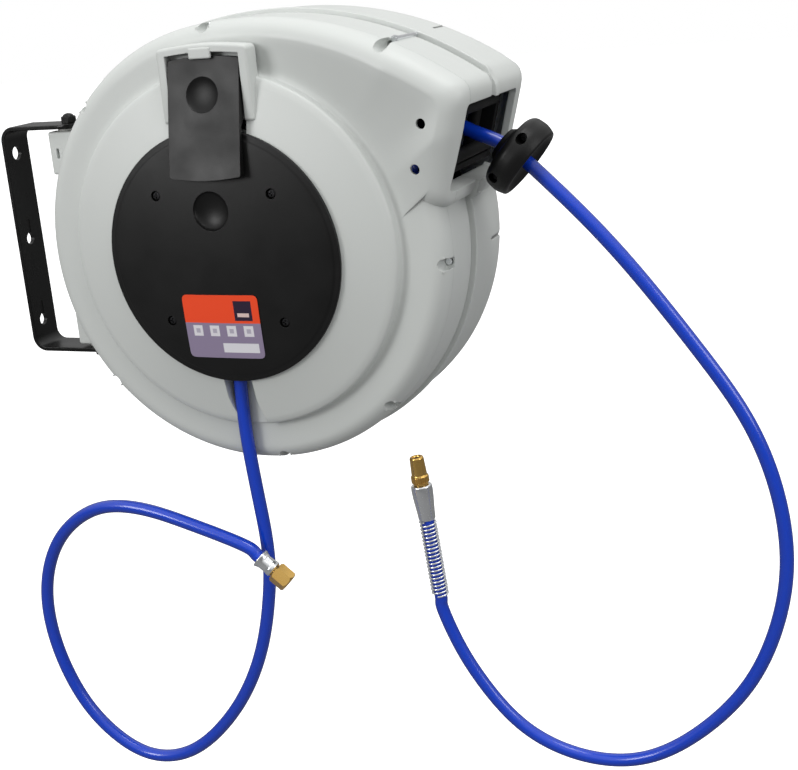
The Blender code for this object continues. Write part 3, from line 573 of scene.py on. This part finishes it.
def stations(inset):
    """(angle, reach) pairs round the housing, anticlockwise from where the top arc starts."""
    circle = RIM_R - inset
    under = UNDER_ANGLE + math.degrees(inset / RIM_R)
    sweep = 360 - TOP_START + under
    line = [(TOP_START + sweep * i / CIRCLE_STEPS, circle) for i in range(CIRCLE_STEPS + 1)]
    edge = under + 0.08
    for t in (0.0, 0.03, 0.1, 0.22, 0.4, 0.65):
        fall = UNDER_DROP * (1 - math.sqrt(1 - (1 - t) ** 2))
        angle = edge + UNDER_BLEND * t
        line.append((angle, max(nose_reach(angle, inset) - fall, circle + 0.2)))
    start = edge + UNDER_BLEND
    for i in range(NOSE_STEPS):
        angle = start + (TOP_START - start) * i / NOSE_STEPS
        line.append((angle, nose_reach(angle, inset)))
    return line


def outline_ring(inset, y, fade=0.0):
    """The housing's outline at depth y. The part of inset named fade is left out at the nose face."""
    ring = []
    solid = stations(inset)
    shallow = stations(inset - fade) if fade else solid
    front_flare = NOSE_FLARE * smoothstep((FLARE_FRONT_Y - y) / FLARE_FRONT_RUN)
    back_flare = BACK_FLARE * smoothstep((y - FLARE_BACK_Y) / FLARE_BACK_RUN)
    for (angle, deep), (_, flat) in zip(solid, shallow):
        turn = angle % 360
        past_corner = -99.0
        if on_nose(turn):
            top, face, _ = nose_parts(turn, inset)
            past_corner = top - face
        reach = deep + (flat - deep) * smoothstep((past_corner / CORNER_BLEND + 1.5) / 1.1)
        beyond = min(1.0, max(0.0, (reach - (RIM_R - inset)) / NOSE_FULL))
        if y < ROUND_Y:
            reach -= NOSE_ROUND * inset * beyond
        x, z = polar(reach, angle)
        ring.append(Vector((x, y * (1 + (front_flare + back_flare) * beyond), z)))
    return ring


def round_ring(radius, y):
    points = [polar(radius, angle) for angle, _ in stations(0)]
    return [Vector((x, y, z)) for x, z in points]


def between(near, far, count):
    """Loops spaced evenly between two loops."""
    return [[a.lerp(b, (k + 1) / (count + 1)) for a, b in zip(near, far)] for k in range(count)]


def quarter(inset_0, y_0, inset_1, y_1, steps=9):
    """A quarter round from the rim (inset_0, y_0) to the side (inset_1, y_1)."""
    turns = [math.pi / 2 * k / steps for k in range(steps + 1)]
    across, deep = inset_0 - inset_1, y_1 - y_0
    return [(inset_1 + across * math.cos(a), y_0 + deep * math.sin(a)) for a in turns]


def loft(name, rings):
    """A closed skin through the rings, from each to the next and from the last to the first."""
    def build(bm):
        loops = [[bm.verts.new(p) for p in ring] for ring in rings]
        for near, far in zip(loops, loops[1:] + loops[:1]):
            bridge(bm, near, far)
        bmesh.ops.triangulate(bm, faces=bm.faces)
    return piece_from(name, build)


def window_place():
    """Local X across the window (+Y), local Y up the face, local Z out of it."""
    lean = math.radians(FACE_LEAN)
    out = Vector((math.cos(lean), 0, -math.sin(lean)))
    up = Vector((math.sin(lean), 0, math.cos(lean)))
    across = up.cross(out)
    turn = Matrix((across, up, out)).transposed().to_4x4()
    return Matrix.Translation(out * FACE_DIST + up * WINDOW_U) @ turn


WINDOW = window_place()


# ---------------------------------------------------------------- shells

def nose_opening(shell, side):
    """The nose's window and its deep sill; side is -1 for the front shell."""
    floor = -WINDOW_H / 2 - WINDOW_SILL
    near, far = sorted((side * 0.2, side * (WINDOW_W / 2 + 2)))
    sill = [(near, floor - 4), (far, floor - 4), (far, floor + 2), (near, floor + 2)]
    join(shell, prism("sill", sill, -SILL_DEPTH, -SILL_FRONT, WINDOW))
    opening = oblong(WINDOW_W / 2, (WINDOW_H + WINDOW_SILL) / 2, 5.0)
    middle = WINDOW @ Matrix.Translation((0, -WINDOW_SILL / 2, 0))
    cut(shell, prism("window", opening, -30, 20, middle))


def add_lugs(shell, low_y, high_y):
    """The two bored lugs that the pivot bolts hold."""
    left, right = LUG_X
    for side in (1, -1):
        low_z, high_z = sorted(side * z for z in LUG_Z)
        join(shell, block("lug", (left, low_y, low_z), (right, high_y, high_z), 2.2))
        cut(shell, rod(LUG_BORE_R, 60, 115, PIVOT, (0, 0, side)))


def screw_bosses(shell, low_y, high_y):
    """Solid bosses behind the screw channels."""
    for angle in SCREW_ANGLES:
        reach = math.hypot(*rim_point(angle, 0))
        low, high = (reach - 13.5, low_y, -6.2), (reach - 3.1, high_y, 6.2)
        turn = Matrix.Rotation(math.radians(-angle), 4, "Y")
        join(shell, block("boss", low, high, place=turn))


def screw_channels(shell, start, end):
    """Round-ended grooves along the rim, each with a dark bore at its inner end."""
    out = 1 if end > start else -1
    groove = softened([(0, start, 0), (CHANNEL_R, start, 1.6), (CHANNEL_R, end, 0), (0, end, 0)])
    bore_low, bore_high = sorted((start - out * 9.0, start + out * 2.0))
    for angle in SCREW_ANGLES:
        x, z = rim_point(angle, 3.2)
        cut(shell, turned("channel", groove, (x, 0, z), BACK, 28))
        x, z = rim_point(angle, 4.5)
        cut(shell, rod(CHANNEL_BORE_R, bore_low, bore_high, (x, 0, z), BACK, 20))


def surround_outline():
    """The raised frame round the lever, with a bowed upper edge."""
    side = LEVER_HALF + 9
    arch = [(u, v, 0) for u, v in bowed(side - 8, 173.0, POCKET_BOW, 10)]
    corners = [(-side, 112.0, 0), (side, 112.0, 0), (side, 172.0, 6)] + arch + [(-side, 172.0, 6)]
    return softened(corners, closed=True)


def pocket_outline():
    side = LEVER_HALF + 1
    return [(-side, 90.0), (side, 90.0)] + bowed(side, POCKET_TOP, POCKET_BOW, 10)


def front_skin():
    """Rings over the front shell: hub plate, raised plateau, side, rim, joint, and back inside."""
    plateau = softened([
        (101.5, FLOOR_Y, 0), (103.2, -87.2, 0.6), (106.0, -88.0, 0.8), (PLATEAU_R - 2.0, -78.2, 2.5),
        (PLATEAU_R + 3.0, -75.5, 2.2), (152.6, -67.0, 2.6), (158.0, SIDE_Y, 0),
    ])
    rings = [round_ring(11, FLOOR_Y)] + [round_ring(r, y) for r, y in plateau]
    rings += between(rings[-1], outline_ring(14.5, SIDE_Y), 5)
    rim = quarter(0.0, -48.6, 14.5, SIDE_Y)
    rings += [outline_ring(inset, y) for inset, y in reversed(rim)]
    step = [(0.45, -48.3), (0.45, -47.9), (0, -47.6)]
    flat = [(0, y) for y in (-38, -28, -18, -9, -3.6)]
    rings += [outline_ring(inset, y) for inset, y in step + flat]
    rings += [outline_ring(0.5, -2.6, 0.3), outline_ring(2.9, -2.0, 2.7), outline_ring(3.0, -JOINT, 2.7)]
    inside = [(WALL + 1.5, -JOINT), (WALL + 1.0, -46), (9.5, SIDE_Y + 6.0), (16.0, SIDE_Y + WALL)]
    rings += [outline_ring(inset, y) for inset, y in inside]
    behind_plateau = [(149.5, -63.2), (145.5, -74.0), (108.2, -83.8)]
    hub_plate = [(105.0, FLOOR_Y + WALL), (11, FLOOR_Y + WALL)]
    return rings + [round_ring(r, y) for r, y in behind_plateau + hub_plate]


def lever_seat(shell):
    """The frame, pocket, catch and openings for the ratchet lever and its pawl link."""
    surround = prism("surround", surround_outline(), 70.0, 87.0, ON_FRONT)
    join(shell, bevel(surround, 2.4, 4, 50))
    cut(shell, prism("pocket", pocket_outline(), 76.5, BEYOND, ON_FRONT))
    join(shell, block("catch", (-11, -88.2, 163.2), (9, -84.9, 172.0), 1.2))
    cut(shell, rod(HINGE_R, -39, 39, HINGE, RIGHT, 20))
    cut(shell, block("pawl_slot", (-20, -90, 112), (-6, -60, 136)))


def hose_slot(shell):
    """The walled slot under the cover where the inlet hose comes out."""
    walls = [(-64.3, -103.4), (-85.0, -105.9), (-75.0, -150.4), (-64.3, -151.6)]
    join(shell, prism("slot_walls", walls, -18.5, 15.5, ON_SIDE))
    slot = softened([
        (-15, -98, 0), (12, -98, 0), (12, -128, 6), (19, -158, 4), (-5, -158, 4), (-15, -128, 6),
    ], closed=True)
    cut(shell, prism("hose_slot", slot, 68.1, 100.0, ON_FRONT))


def front_shell():
    shell = loft("housing_front", front_skin())
    add_lugs(shell, -14.0, -0.5)
    cut(shell, block("lug_slot", (-204.5, -16, 77), (-201.8, -9, 86), 0.5))
    screw_bosses(shell, -62.0, -0.8)
    screw_channels(shell, -45.0, -BEYOND)
    lever_seat(shell)
    hose_slot(shell)
    nose_opening(shell, -1)
    for x, z in NOSE_HOLES:
        cut(shell, rod(NOSE_HOLE_R, -BEYOND, -62, (x, 0, z)))
    dress(shell, "housing", SHELL, "front_shell", 32)


def rear_skin():
    """Rings over the rear shell: joint, raised band, rim, back with a raised ring, and inside."""
    rings = [outline_ring(WALL + 1.5, JOINT), outline_ring(3.0, JOINT, 2.9), outline_ring(2.9, 1.9, 2.9)]
    band = [(0.7 - BAND_RISE, 2.3), (-BAND_RISE, 3.1), (-BAND_RISE, 9.4), (0.3 - BAND_RISE, 10.2)]
    rim = [(-REAR_RISE, y) for y in (10.9, 20, 32, 44, 56)]
    rings += [outline_ring(inset, y, inset) for inset, y in band + rim]
    edge = quarter(-REAR_RISE, 66.0, 15.0, BACK_Y)
    rings += [outline_ring(inset, y, min(inset, 0.0)) for inset, y in edge]
    raised = BACK_Y + 4
    centre = softened([
        (70, BACK_Y, 0), (60, BACK_Y, 2), (56, raised, 2), (46, raised, 0), (10, raised, 0),
    ])
    centre_rings = [round_ring(r, y) for r, y in centre]
    rings += between(rings[-1], centre_rings[0], 5) + centre_rings
    inside = [(16.5, BACK_Y - WALL), (9.5, 77.5), (WALL + 1.2, 64), (WALL + 1.2, 4)]
    return rings + [round_ring(10, BACK_Y - WALL)] + [outline_ring(inset, y) for inset, y in inside]


def rear_shell():
    shell = loft("housing_rear", rear_skin())
    add_lugs(shell, 0.5, 14.0)
    screw_bosses(shell, 0.8, 78.0)
    screw_channels(shell, 45.0, BEYOND)
    nose_opening(shell, 1)
    dress(shell, "housing", SHELL, "rear_shell", 32)


# ---------------------------------------------------------------- cover, label, lever

def dome_height(radius):
    """How far in front of the joint the domed cover stands."""
    return -COVER_Y + COVER_DOME * (1 - (radius / COVER_R) ** 2)


def front_cover():
    outer = [(r, dome_height(r)) for r in (0, 12, 24, 36, 48, 60, 72, 84, 94, 101.5)]
    rim = softened([
        (101.5, dome_height(101.5), 0), (103.4, 91.9, 0.8), (107.6, 91.4, 0.7), (COVER_R, 90.6, 0.3),
        (COVER_R, 88.4, 0.3), (103.6, 88.4, 0),
    ])
    inner = [(101, 88.4), (101, 89.0)] + [(r, dome_height(r) - 3.0) for r in (84, 60, 36, 0)]
    cover = turned("cover", outer + rim[1:] + inner, direction=FRONT, steps=144)
    cup = [(0, 88.8), (10.0, 89.6), (15.0, 91.6), (18.2, 94.6), (18.2, 96.4), (12, 97.0), (0, 97.0)]
    join(cover, turned("cup_wall", cup, FINGER_CUP, FRONT, 48))
    cut(cover, turned("cup_bowl", bowl(16.4, 97.8, 6.4, 1.8, 108), FINGER_CUP, FRONT, 64))
    recess = softened([
        (0, 91.6, 0), (4.4, 91.6, 0), (4.4, 96.4, 0.6), (5.4, 98.4, 0), (5.4, 110, 0), (0, 110, 0),
    ])
    for x, z in COVER_SCREWS:
        join(cover, rod(6.5, 88.0, 94.5, (x, 0, z), FRONT))
        cut(cover, turned("recess", recess, (x, 0, z), FRONT, 32))
        cut(cover, rod(2.6, 85, 95, (x, 0, z), FRONT, 24))
    dress(cover, "housing", BLACK, "front_cover")


def cross_head_screw(name, centre, head, tail, body, node):
    """A pan-head screw facing front: head is (underside, top) of its head, tail its other end."""
    under, top = head
    head_r, drive = SCREW_HEAD_R, SCREW_HEAD_R * 0.62
    profile = [(0, tail), (2.0, tail), (2.0, under), (head_r, under), (head_r, top - 0.8),
               (head_r * 0.72, top - 0.1), (0, top)]
    screw = turned(name, profile, centre, FRONT, 24)
    place = placed(centre, FRONT)
    for half_u, half_v in ((drive, 0.45), (0.45, drive)):
        low, high = (-half_u, -half_v, top - 1.6), (half_u, half_v, top + 2)
        cut(screw, block("drive", low, high, place=place))
    dress(screw, body, BLACK_STEEL, node)


def screws():
    for number, (x, z) in enumerate(COVER_SCREWS, 1):
        cross_head_screw(f"cover_bolt_{number}", (x, 0, z), (91.9, 94.4), 70.0, "housing",
                         f"cover_screw_{number}")
    for number, across in enumerate(STOP_SCREWS, 1):
        cross_head_screw(f"stop_bolt_{number}", stop_point(-2, across), (14.3, 17.6), -12.0, "outlet",
                         f"stop_screw_{number}")


def label():
    """A thin film with rounded corners, bent to the cover's dome."""
    low, high = local_box("label")
    under = [(r, dome_height(r) + 0.42) for r in range(0, 105, 8)]
    film = [(r, h + 0.3) for r, h in reversed(under)]
    sheet = turned("label_sheet", under + film, direction=FRONT, steps=120)
    middle = (low + high) / 2
    half = (high - low) / 2
    outline = [(middle.x + u, middle.z + v) for u, v in oblong(half.x, half.z, 5.0)]
    trim(sheet, prism("label_cut", outline, 80, BEYOND, ON_FRONT))
    dress(sheet, "housing", LABEL, "label", 35)


def ratchet_lever():
    """A rounded flap: bowed ends, thick lower edge, a thumb dimple in its upper half."""
    upper = bowed(LEVER_HALF, LEVER_TOP - LEVER_BOW, LEVER_BOW, 12)
    lower = bowed(-LEVER_HALF, LEVER_LOW + LEVER_BOW, -LEVER_BOW, 12)
    rounding = [3.0] + [0] * 11 + [3.0, 1.6] + [0] * 11 + [1.6]
    lever = prism("lever", rounded(upper + lower, rounding, closed=True), 70.0, BEYOND, ON_FRONT)
    side = softened([
        (-105.0, 66.5, 0), (-84.0, 165.5, 0), (-81.0, 165.0, 1.5), (-78.0, 162.6, 1.5),
        (-77.7, 150.0, 0), (-89.3, 112.0, 0), (-93.2, 108.5, 0), (-97.8, 66.5, 0),
    ], closed=True)
    trim(lever, prism("lever_side", side, -40, 40, ON_SIDE))
    bevel(lever, 0.9, 3, 40)
    cut(lever, turned("thumb", bowl(15.6, 1.0, 5.4, 1.6, 30), (-1, -91.2, 135), (0, -1, 0.21), 64))
    cut(lever, rod(HINGE_R, -40, 40, HINGE, RIGHT, 20))
    dress(lever, "lever", BLACK, "ratchet_lever")


# ---------------------------------------------------------------- guide in the nose

def roller_frame():
    guide = prism("guide_frame", oblong(*GUIDE_HALF, 3.0), -33, -10.6, WINDOW)
    cut(guide, prism("opening", oblong(*GUIDE_OPENING, 3.0), -40, 0, WINDOW))
    bevel(guide, 0.8, 2, 50)
    dress(guide, "housing", DRUM, "roller_frame")


def rollers():
    for side in ("top", "bottom", "left", "right"):
        node = f"roller_{side}"
        low, high = local_box(node)
        level = side in ("top", "bottom")
        direction = Vector(BACK) if level else WINDOW.to_3x3().col[1]
        half = LEVEL_ROLLER if level else UPRIGHT_ROLLER
        profile = softened([
            (ROLLER_BORE_R, -half, 0), (ROLLER_R, -half, 0.8),
            (ROLLER_R, half, 0.8), (ROLLER_BORE_R, half, 0),
        ])
        roller = turned(f"guide_{node}", profile, (low + high) / 2, direction, 40)
        dress(roller, node, DRUM, node)


# ---------------------------------------------------------------- hoses and fittings

# Profiles as (radius, height, rounding), height along the fitting from the hose's end
OUTLET_FERRULE = [
    (SLEEVE_R, 77, 0), (7.3, 77, 0.4), (7.9, 78, 0.8), (8.2, 84, 3), (9.6, 99, 4), (9.9, 106, 3),
    (9.6, 110, 1), (8.8, 111, 0.4), (SLEEVE_R, 111, 0),
]
OUTLET_NIPPLE = [
    (0, 84, 0), (5.0, 84, 0), (5.4, 111.4, 0), (7.0, 111.4, 0.3), (7.0, 113.2, 0.3), (8.3, 113.8, 0.4),
    (8.3, 119.4, 0.4), (7.5, 120.2, 0.3), (7.2, 120.8, 0.3), (6.5, 136.6, 0.6), (5.7, 138, 0.4),
    (4.0, 138, 0.3), (3.4, 136.6, 0.3), (3.4, 118, 0), (0, 118, 0),
]
KNURLS, KNURL_LOW, KNURL_HIGH = 26, 112.5, 120.6
COIL_TURNS, COIL_STEPS, COIL_R, WIRE_R = 20, 28, HOSE_R + 1.25, 0.95
COIL_LOW, COIL_LENGTH = 2, 74
INLET_FERRULE = [
    (SLEEVE_R, 0.2, 0), (8.6, 0, 0.4), (8.9, 1.0, 0.5), (7.5, 4.0, 1.2), (7.3, 12.5, 1.0),
    (7.7, 14.0, 0.6), (7.6, 16.5, 0.8), (6.0, 18.0, 0.5), (3.0, 18.0, 0), (3.0, 14.0, 0),
    (SLEEVE_R, 14.0, 0),
]
NUT_DOME = [(0, 18.5), (8.4, 18.5), (9.9, 20.2), (9.9, 32.9), (8.6, 34.5), (0, 34.5)]
NUT_BORE = [(0, 21), (6.2, 21), (6.2, 33.6), (7.1, 35.0), (7.1, 45), (0, 45)]
STOP_PROFILE = [
    (6.6, -17.5, 0), (13, -17.5, 1.2), (17, -12.5, 2.5), (29, -10.5, 2.5), (33.0, -6.5, 3.0),
    (34.0, 4.0, 3.5), (31.5, 11.6, 2.0), (28.5, 12.6, 1.6), (24, 8.0, 3.0), (14, 6.2, 3.0),
    (6.6, 6.0, 0),
]
STOP_BORE = [(0, -60), (4.3, -60), (4.3, -14), (2.3, -14), (2.3, 13), (0, 13)]


def feed_point(distance):
    """A point on the line along which the hose leaves the drum."""
    angle = math.radians(FEED_ANGLE)
    return Vector((FEED_R * math.sin(angle) + distance * math.cos(angle), 0,
                   FEED_R * math.cos(angle) - distance * math.sin(angle)))


def stop_point(along, across=0.0):
    """A point in the hose stop's own directions."""
    angle = math.radians(STOP_ANGLE)
    return Vector((STOP_X + along * math.cos(angle) + across * math.sin(angle), 0,
                   STOP_Z - along * math.sin(angle) + across * math.cos(angle)))


def outlet_hose(along):
    controls = [feed_point(100), feed_point(135), feed_point(146), stop_point(-14), stop_point(14)]
    controls += OUTLET_LOOP + [OUTLET_END - along * 16, OUTLET_END - along * 3]
    path = [feed_point(-70), feed_point(0)] + relaxed(smooth_path(controls))
    path += [OUTLET_END + along * distance for distance in (10, 45, 82)]
    dress(tube("hose_out", path, HOSE_R, 32), "outlet", HOSE, "outlet_hose", 50)


def strain_spring(along):
    turn = along.to_track_quat("Z", "Y")
    count = COIL_TURNS * COIL_STEPS
    coil = []
    for i in range(count + 1):
        angle = 2 * math.pi * i / COIL_STEPS
        height = COIL_LOW + COIL_LENGTH * i / count
        spot = Vector((COIL_R * math.cos(angle), COIL_R * math.sin(angle), height))
        coil.append(OUTLET_END + turn @ spot)
    dress(tube("strain_spring", coil, WIRE_R, 10), "outlet", SPRING, "strain_relief_spring", 50)


def outlet():
    along = (OUTLET_TIP - OUTLET_END).normalized()
    outlet_hose(along)
    ferrule = turned("ferrule_out", softened(OUTLET_FERRULE), OUTLET_END, along)
    dress(ferrule, "outlet", STEEL, "outlet_ferrule", 32)
    nipple = turned("nipple", softened(OUTLET_NIPPLE), OUTLET_END, along)
    place = placed(OUTLET_END, along)
    for i in range(KNURLS):
        turn = place @ Matrix.Rotation(2 * math.pi * i / KNURLS, 4, "Z")
        cut(nipple, prism("notch", [(7.85, 0), (9.2, -0.75), (9.2, 0.75)], KNURL_LOW, KNURL_HIGH, turn))
    dress(nipple, "outlet", BRASS, "outlet_nipple", 32)
    strain_spring(along)


def hose_stop():
    """A ball stop in two halves: dished outer face, broad rim, screws sunk in the rim."""
    direction = stop_point(1) - stop_point(0)
    profile = softened(STOP_PROFILE, steps=5)
    for side, low_y, high_y in (("front", -60, -JOINT), ("rear", JOINT, 60)):
        half = turned(f"stop_{side}", profile, stop_point(0), direction, 96)
        low, high = (STOP_X - 60, low_y, STOP_Z - 60), (STOP_X + 60, high_y, STOP_Z + 60)
        trim(half, block("half", low, high))
        for across in STOP_SCREWS:
            cut(half, turned("bore", STOP_BORE, stop_point(-2, across), BACK, 32))
        dress(half, "outlet", BLACK, f"hose_stop_{side}")


def inlet():
    along = (INLET_TIP - INLET_END).normalized()
    path = relaxed(smooth_path(INLET_LOOP + [INLET_END - along * 16, INLET_END - along * 4]))
    path += [INLET_END + along * 4, INLET_END + along * 13]
    dress(tube("hose_in", path, HOSE_R, 32), "housing", HOSE, "inlet_hose", 50)
    crimp = turned("ferrule_in", softened(INLET_FERRULE), INLET_END, along, 72)
    place = placed(INLET_END, along)
    for i in range(6):
        turn = place @ Matrix.Rotation(math.pi / 3 * i, 4, "Z")
        cut(crimp, block("flat", (6.95, -6, 5.0), (12, 6, 12.0), 0.5, turn))
    dress(crimp, "housing", STEEL, "inlet_ferrule")
    nut = prism("nut_in", hexagon(17.0), 18.5, 34.5, place)
    trim(nut, turned("nut_dome", NUT_DOME, INLET_END, along, 72))
    cut(nut, turned("nut_bore", NUT_BORE, INLET_END, along, 48))
    dress(nut, "inlet_nut", BRASS, "inlet_nut", 25)


# ---------------------------------------------------------------- wall bracket

def arc(u, v, radius, start, end, steps=12):
    """Points round the centre (u, v) from the start angle to the end angle."""
    spots = [polar(radius, start + (end - start) * i / steps) for i in range(steps + 1)]
    return [(u + du, v + dv) for du, dv in spots]


def strip_section():
    """The bent strip seen from the front: outer face down, inner face up."""
    left, right = STRIP_X - STRIP_T / 2, STRIP_X + STRIP_T / 2
    top, tip = ARM_Z + STRIP_T, PIVOT_X + STRIP_W / 2
    outer, inner = CORNER_R, CORNER_R - STRIP_T
    section = [(tip, top)] + arc(left + outer, top - outer, outer, 90, 180)
    section += arc(left + outer, -top + outer, outer, 180, 270)
    section += [(tip, -top), (tip, -ARM_Z)] + arc(right + inner, -ARM_Z + inner, inner, 270, 180)
    return section + arc(right + inner, ARM_Z - inner, inner, 180, 90) + [(tip, ARM_Z)]


def wall_bracket():
    tip = PIVOT_X + STRIP_W / 2
    strip = prism("bracket", strip_section(), -STRIP_W / 2, STRIP_W / 2, ON_FRONT)
    bevel(strip, 0.9, 3, 50)
    arm_end = softened([
        (tip + 5, -25, 0), (tip + 5, 25, 0), (tip - 20, 25, 0), (tip - 20, 18, 0), (tip - 9, 18, 6),
        (tip, 9, 6), (tip, -9, 6), (tip - 9, -18, 6), (tip - 20, -18, 0), (tip - 20, -25, 0),
    ], closed=True)
    for side in (1, -1):
        low_z, high_z = sorted((side * 100, side * 112))
        cut(strip, prism("arm_end", arm_end, low_z, high_z, Matrix.Identity(4)))
        cut(strip, rod(PIVOT_HOLE_R, 95, 115, PIVOT, (0, 0, side)))
    cut(strip, rod(WALL_HOLE_R, -10, 10, (STRIP_X, HOLES_Y, WALL_HOLE_Z), RIGHT, 40))
    for z in KEYHOLES_Z:
        keyhole = arc(HOLES_Y, z, KEYHOLE_R, 117, 423, 34)
        keyhole += arc(HOLES_Y, z + 17, KEYHOLE_SLOT_R, 0, 180, 9)
        cut(strip, prism("keyhole", keyhole, -10, 10, Matrix.Translation((STRIP_X, 0, 0)) @ ON_SIDE))
    dress(strip, "bracket", PAINT, "wall_bracket")


def pivot_bolts():
    dome = rounded([
        (0, 107), (6.8, 107), (7.6, 108.6), (7.6, 112.2), (6.2, 114.6), (3.2, 116.4), (0, 116.9),
    ], 1.0)
    cap = softened([(0, 112.5, 0), (5.4, 112.5, 0), (5.2, 114.5, 1.4), (3.4, 116.2, 1.6), (0, 116.9, 0)])
    for end, side in (("top", 1), ("bottom", -1)):
        up = (0, 0, side)
        bolt = prism(f"bolt_{end}", hexagon(13.0), 108.4, 113.9, placed(PIVOT, up))
        trim(bolt, turned("dome", dome, PIVOT, up, 48))
        join(bolt, turned("cap", cap, PIVOT, up, 48))
        join(bolt, rod(4.0, 78, 110, PIVOT, up))
        dress(bolt, "bracket", PAINT, f"pivot_bolt_{end}")


# ---------------------------------------------------------------- carried-over nodes

def carry_over():
    """Better materials for the CAD nodes that stay; those not named here are steel."""
    finishes = {"hose_coil": HOSE, "rotary_seal": RUBBER, "inlet_elbow": BRASS, "lever_pin": BLACK_STEEL}
    for name in ("drum_core", "drum_front_flange", "drum_rear_flange"):
        finishes[name] = DRUM
    for name in ("drum_bush_front", "drum_bush_rear", "pivot_bush_top", "pivot_bush_bottom"):
        finishes[name] = NYLON
    for name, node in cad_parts.items():
        node.data.materials.clear()
        node.data.materials.append(finishes.get(name, STEEL))


# ---------------------------------------------------------------- stage

CAMERA_SPOT = (0.58154, -1.10665, 0.22546)      # from the drum axis, in metres
CAMERA_BACK = (0.37441, -0.88142, 0.28794)
CAMERA_ROLL = -4.971
LENS = 63.42
SKY_LOW, SKY_HIGH = 0.12, 1.15       # strength of the light from below the horizon and from above
WHITE = rgb(1.0, 1.0, 1.0)
FLOOR_DROP, FLOOR_HALF = 0.35, 14.0


def camera():
    back = Vector(CAMERA_BACK).normalized()
    level = Vector((0, 0, 1)).cross(back).normalized()
    rise = back.cross(level)
    roll = math.radians(CAMERA_ROLL)
    right = level * math.cos(roll) + rise * math.sin(roll)
    up = back.cross(right)
    data = bpy.data.cameras.new("camera")
    data.lens = LENS
    data.clip_start, data.clip_end = 0.05, 50.0
    cam = bpy.data.objects.new("camera", data)
    bpy.context.scene.collection.objects.link(cam)
    turn = Matrix((right, up, back)).transposed().to_4x4()
    cam.matrix_world = Matrix.Translation(HUB + Vector(CAMERA_SPOT)) @ turn
    bpy.context.scene.camera = cam


def area_light(name, spot, target, size, power):
    data = bpy.data.lights.new(name, "AREA")
    data.shape = "DISK"
    data.size = size
    data.energy = power
    lamp = bpy.data.objects.new(name, data)
    bpy.context.scene.collection.objects.link(lamp)
    lamp.location = HUB + Vector(spot)
    aim = Vector(target) - Vector(spot)
    lamp.rotation_mode = "QUATERNION"
    lamp.rotation_quaternion = aim.to_track_quat("-Z", "Y")


def sky():
    """White where the camera looks, and a soft light that fades towards the floor elsewhere."""
    world = bpy.data.worlds.new("studio")
    world.use_nodes = True
    tree = world.node_tree
    link = tree.links.new
    lit = tree.nodes["Background"]
    seen = tree.nodes.new("ShaderNodeBackground")
    lit.inputs["Color"].default_value = WHITE
    seen.inputs["Color"].default_value = WHITE
    direction = tree.nodes.new("ShaderNodeTexCoord")
    split = tree.nodes.new("ShaderNodeSeparateXYZ")
    height = tree.nodes.new("ShaderNodeMapRange")
    height.interpolation_type = "SMOOTHSTEP"
    ends = {"From Min": -0.25, "From Max": 0.95, "To Min": SKY_LOW, "To Max": SKY_HIGH}
    for name, value in ends.items():
        height.inputs[name].default_value = value
    rays = tree.nodes.new("ShaderNodeLightPath")
    pick = tree.nodes.new("ShaderNodeMixShader")
    link(direction.outputs["Generated"], split.inputs[0])
    link(split.outputs["Z"], height.inputs["Value"])
    link(height.outputs[0], lit.inputs["Strength"])
    link(rays.outputs["Is Camera Ray"], pick.inputs[0])
    link(lit.outputs[0], pick.inputs[1])
    link(seen.outputs[0], pick.inputs[2])
    link(pick.outputs[0], tree.nodes["World Output"].inputs["Surface"])
    bpy.context.scene.world = world


def paper_floor():
    """Pale paper for the camera; darker for other rays, so that it doesn't light the reel from below."""
    m = Nodes("pale_floor")
    straight = m.tree.nodes.new("ShaderNodeLightPath").outputs["Is Camera Ray"]
    paper = m.mix(m.noise(3.0), rgb(*grey(0.93)), rgb(*grey(0.95)))
    m.set("Base Color", m.mix(straight, rgb(*grey(0.22)), paper))
    m.set("Roughness", 0.9)
    m.set("Specular IOR Level", 0.0)
    m.set("Emission Color", WHITE)
    m.set("Emission Strength", m.calc("MULTIPLY", straight, 0.5))
    depth = cad_low.z - FLOOR_DROP
    corners = [(x * FLOOR_HALF, y * FLOOR_HALF, depth) for x, y in ((-1, -1), (1, -1), (1, 1), (-1, 1))]
    mesh = bpy.data.meshes.new("floor")
    mesh.from_pydata(corners, [], [(0, 1, 2, 3)])
    mesh.materials.append(m.mat)
    plane = bpy.data.objects.new("floor", mesh)
    bpy.context.scene.collection.objects.link(plane)


def stage():
    sky()
    paper_floor()
    area_light("key", (0.5, -0.3, 1.6), (0, 0, 0.05), 0.8, 8.0)
    area_light("side", (1.6, -0.3, 0.4), (0.1, 0, 0), 0.7, 5.0)
    area_light("front", (-1.15, -1.9, 0.65), (0.05, 0, 0.02), 0.9, 19.0)
    bpy.context.scene.view_settings.view_transform = "Standard"


# ---------------------------------------------------------------- the scene

carry_over()
front_shell()
rear_shell()
front_cover()
label()
ratchet_lever()
screws()
roller_frame()
rollers()
outlet()
hose_stop()
inlet()
wall_bracket()
pivot_bolts()
camera()
stage()
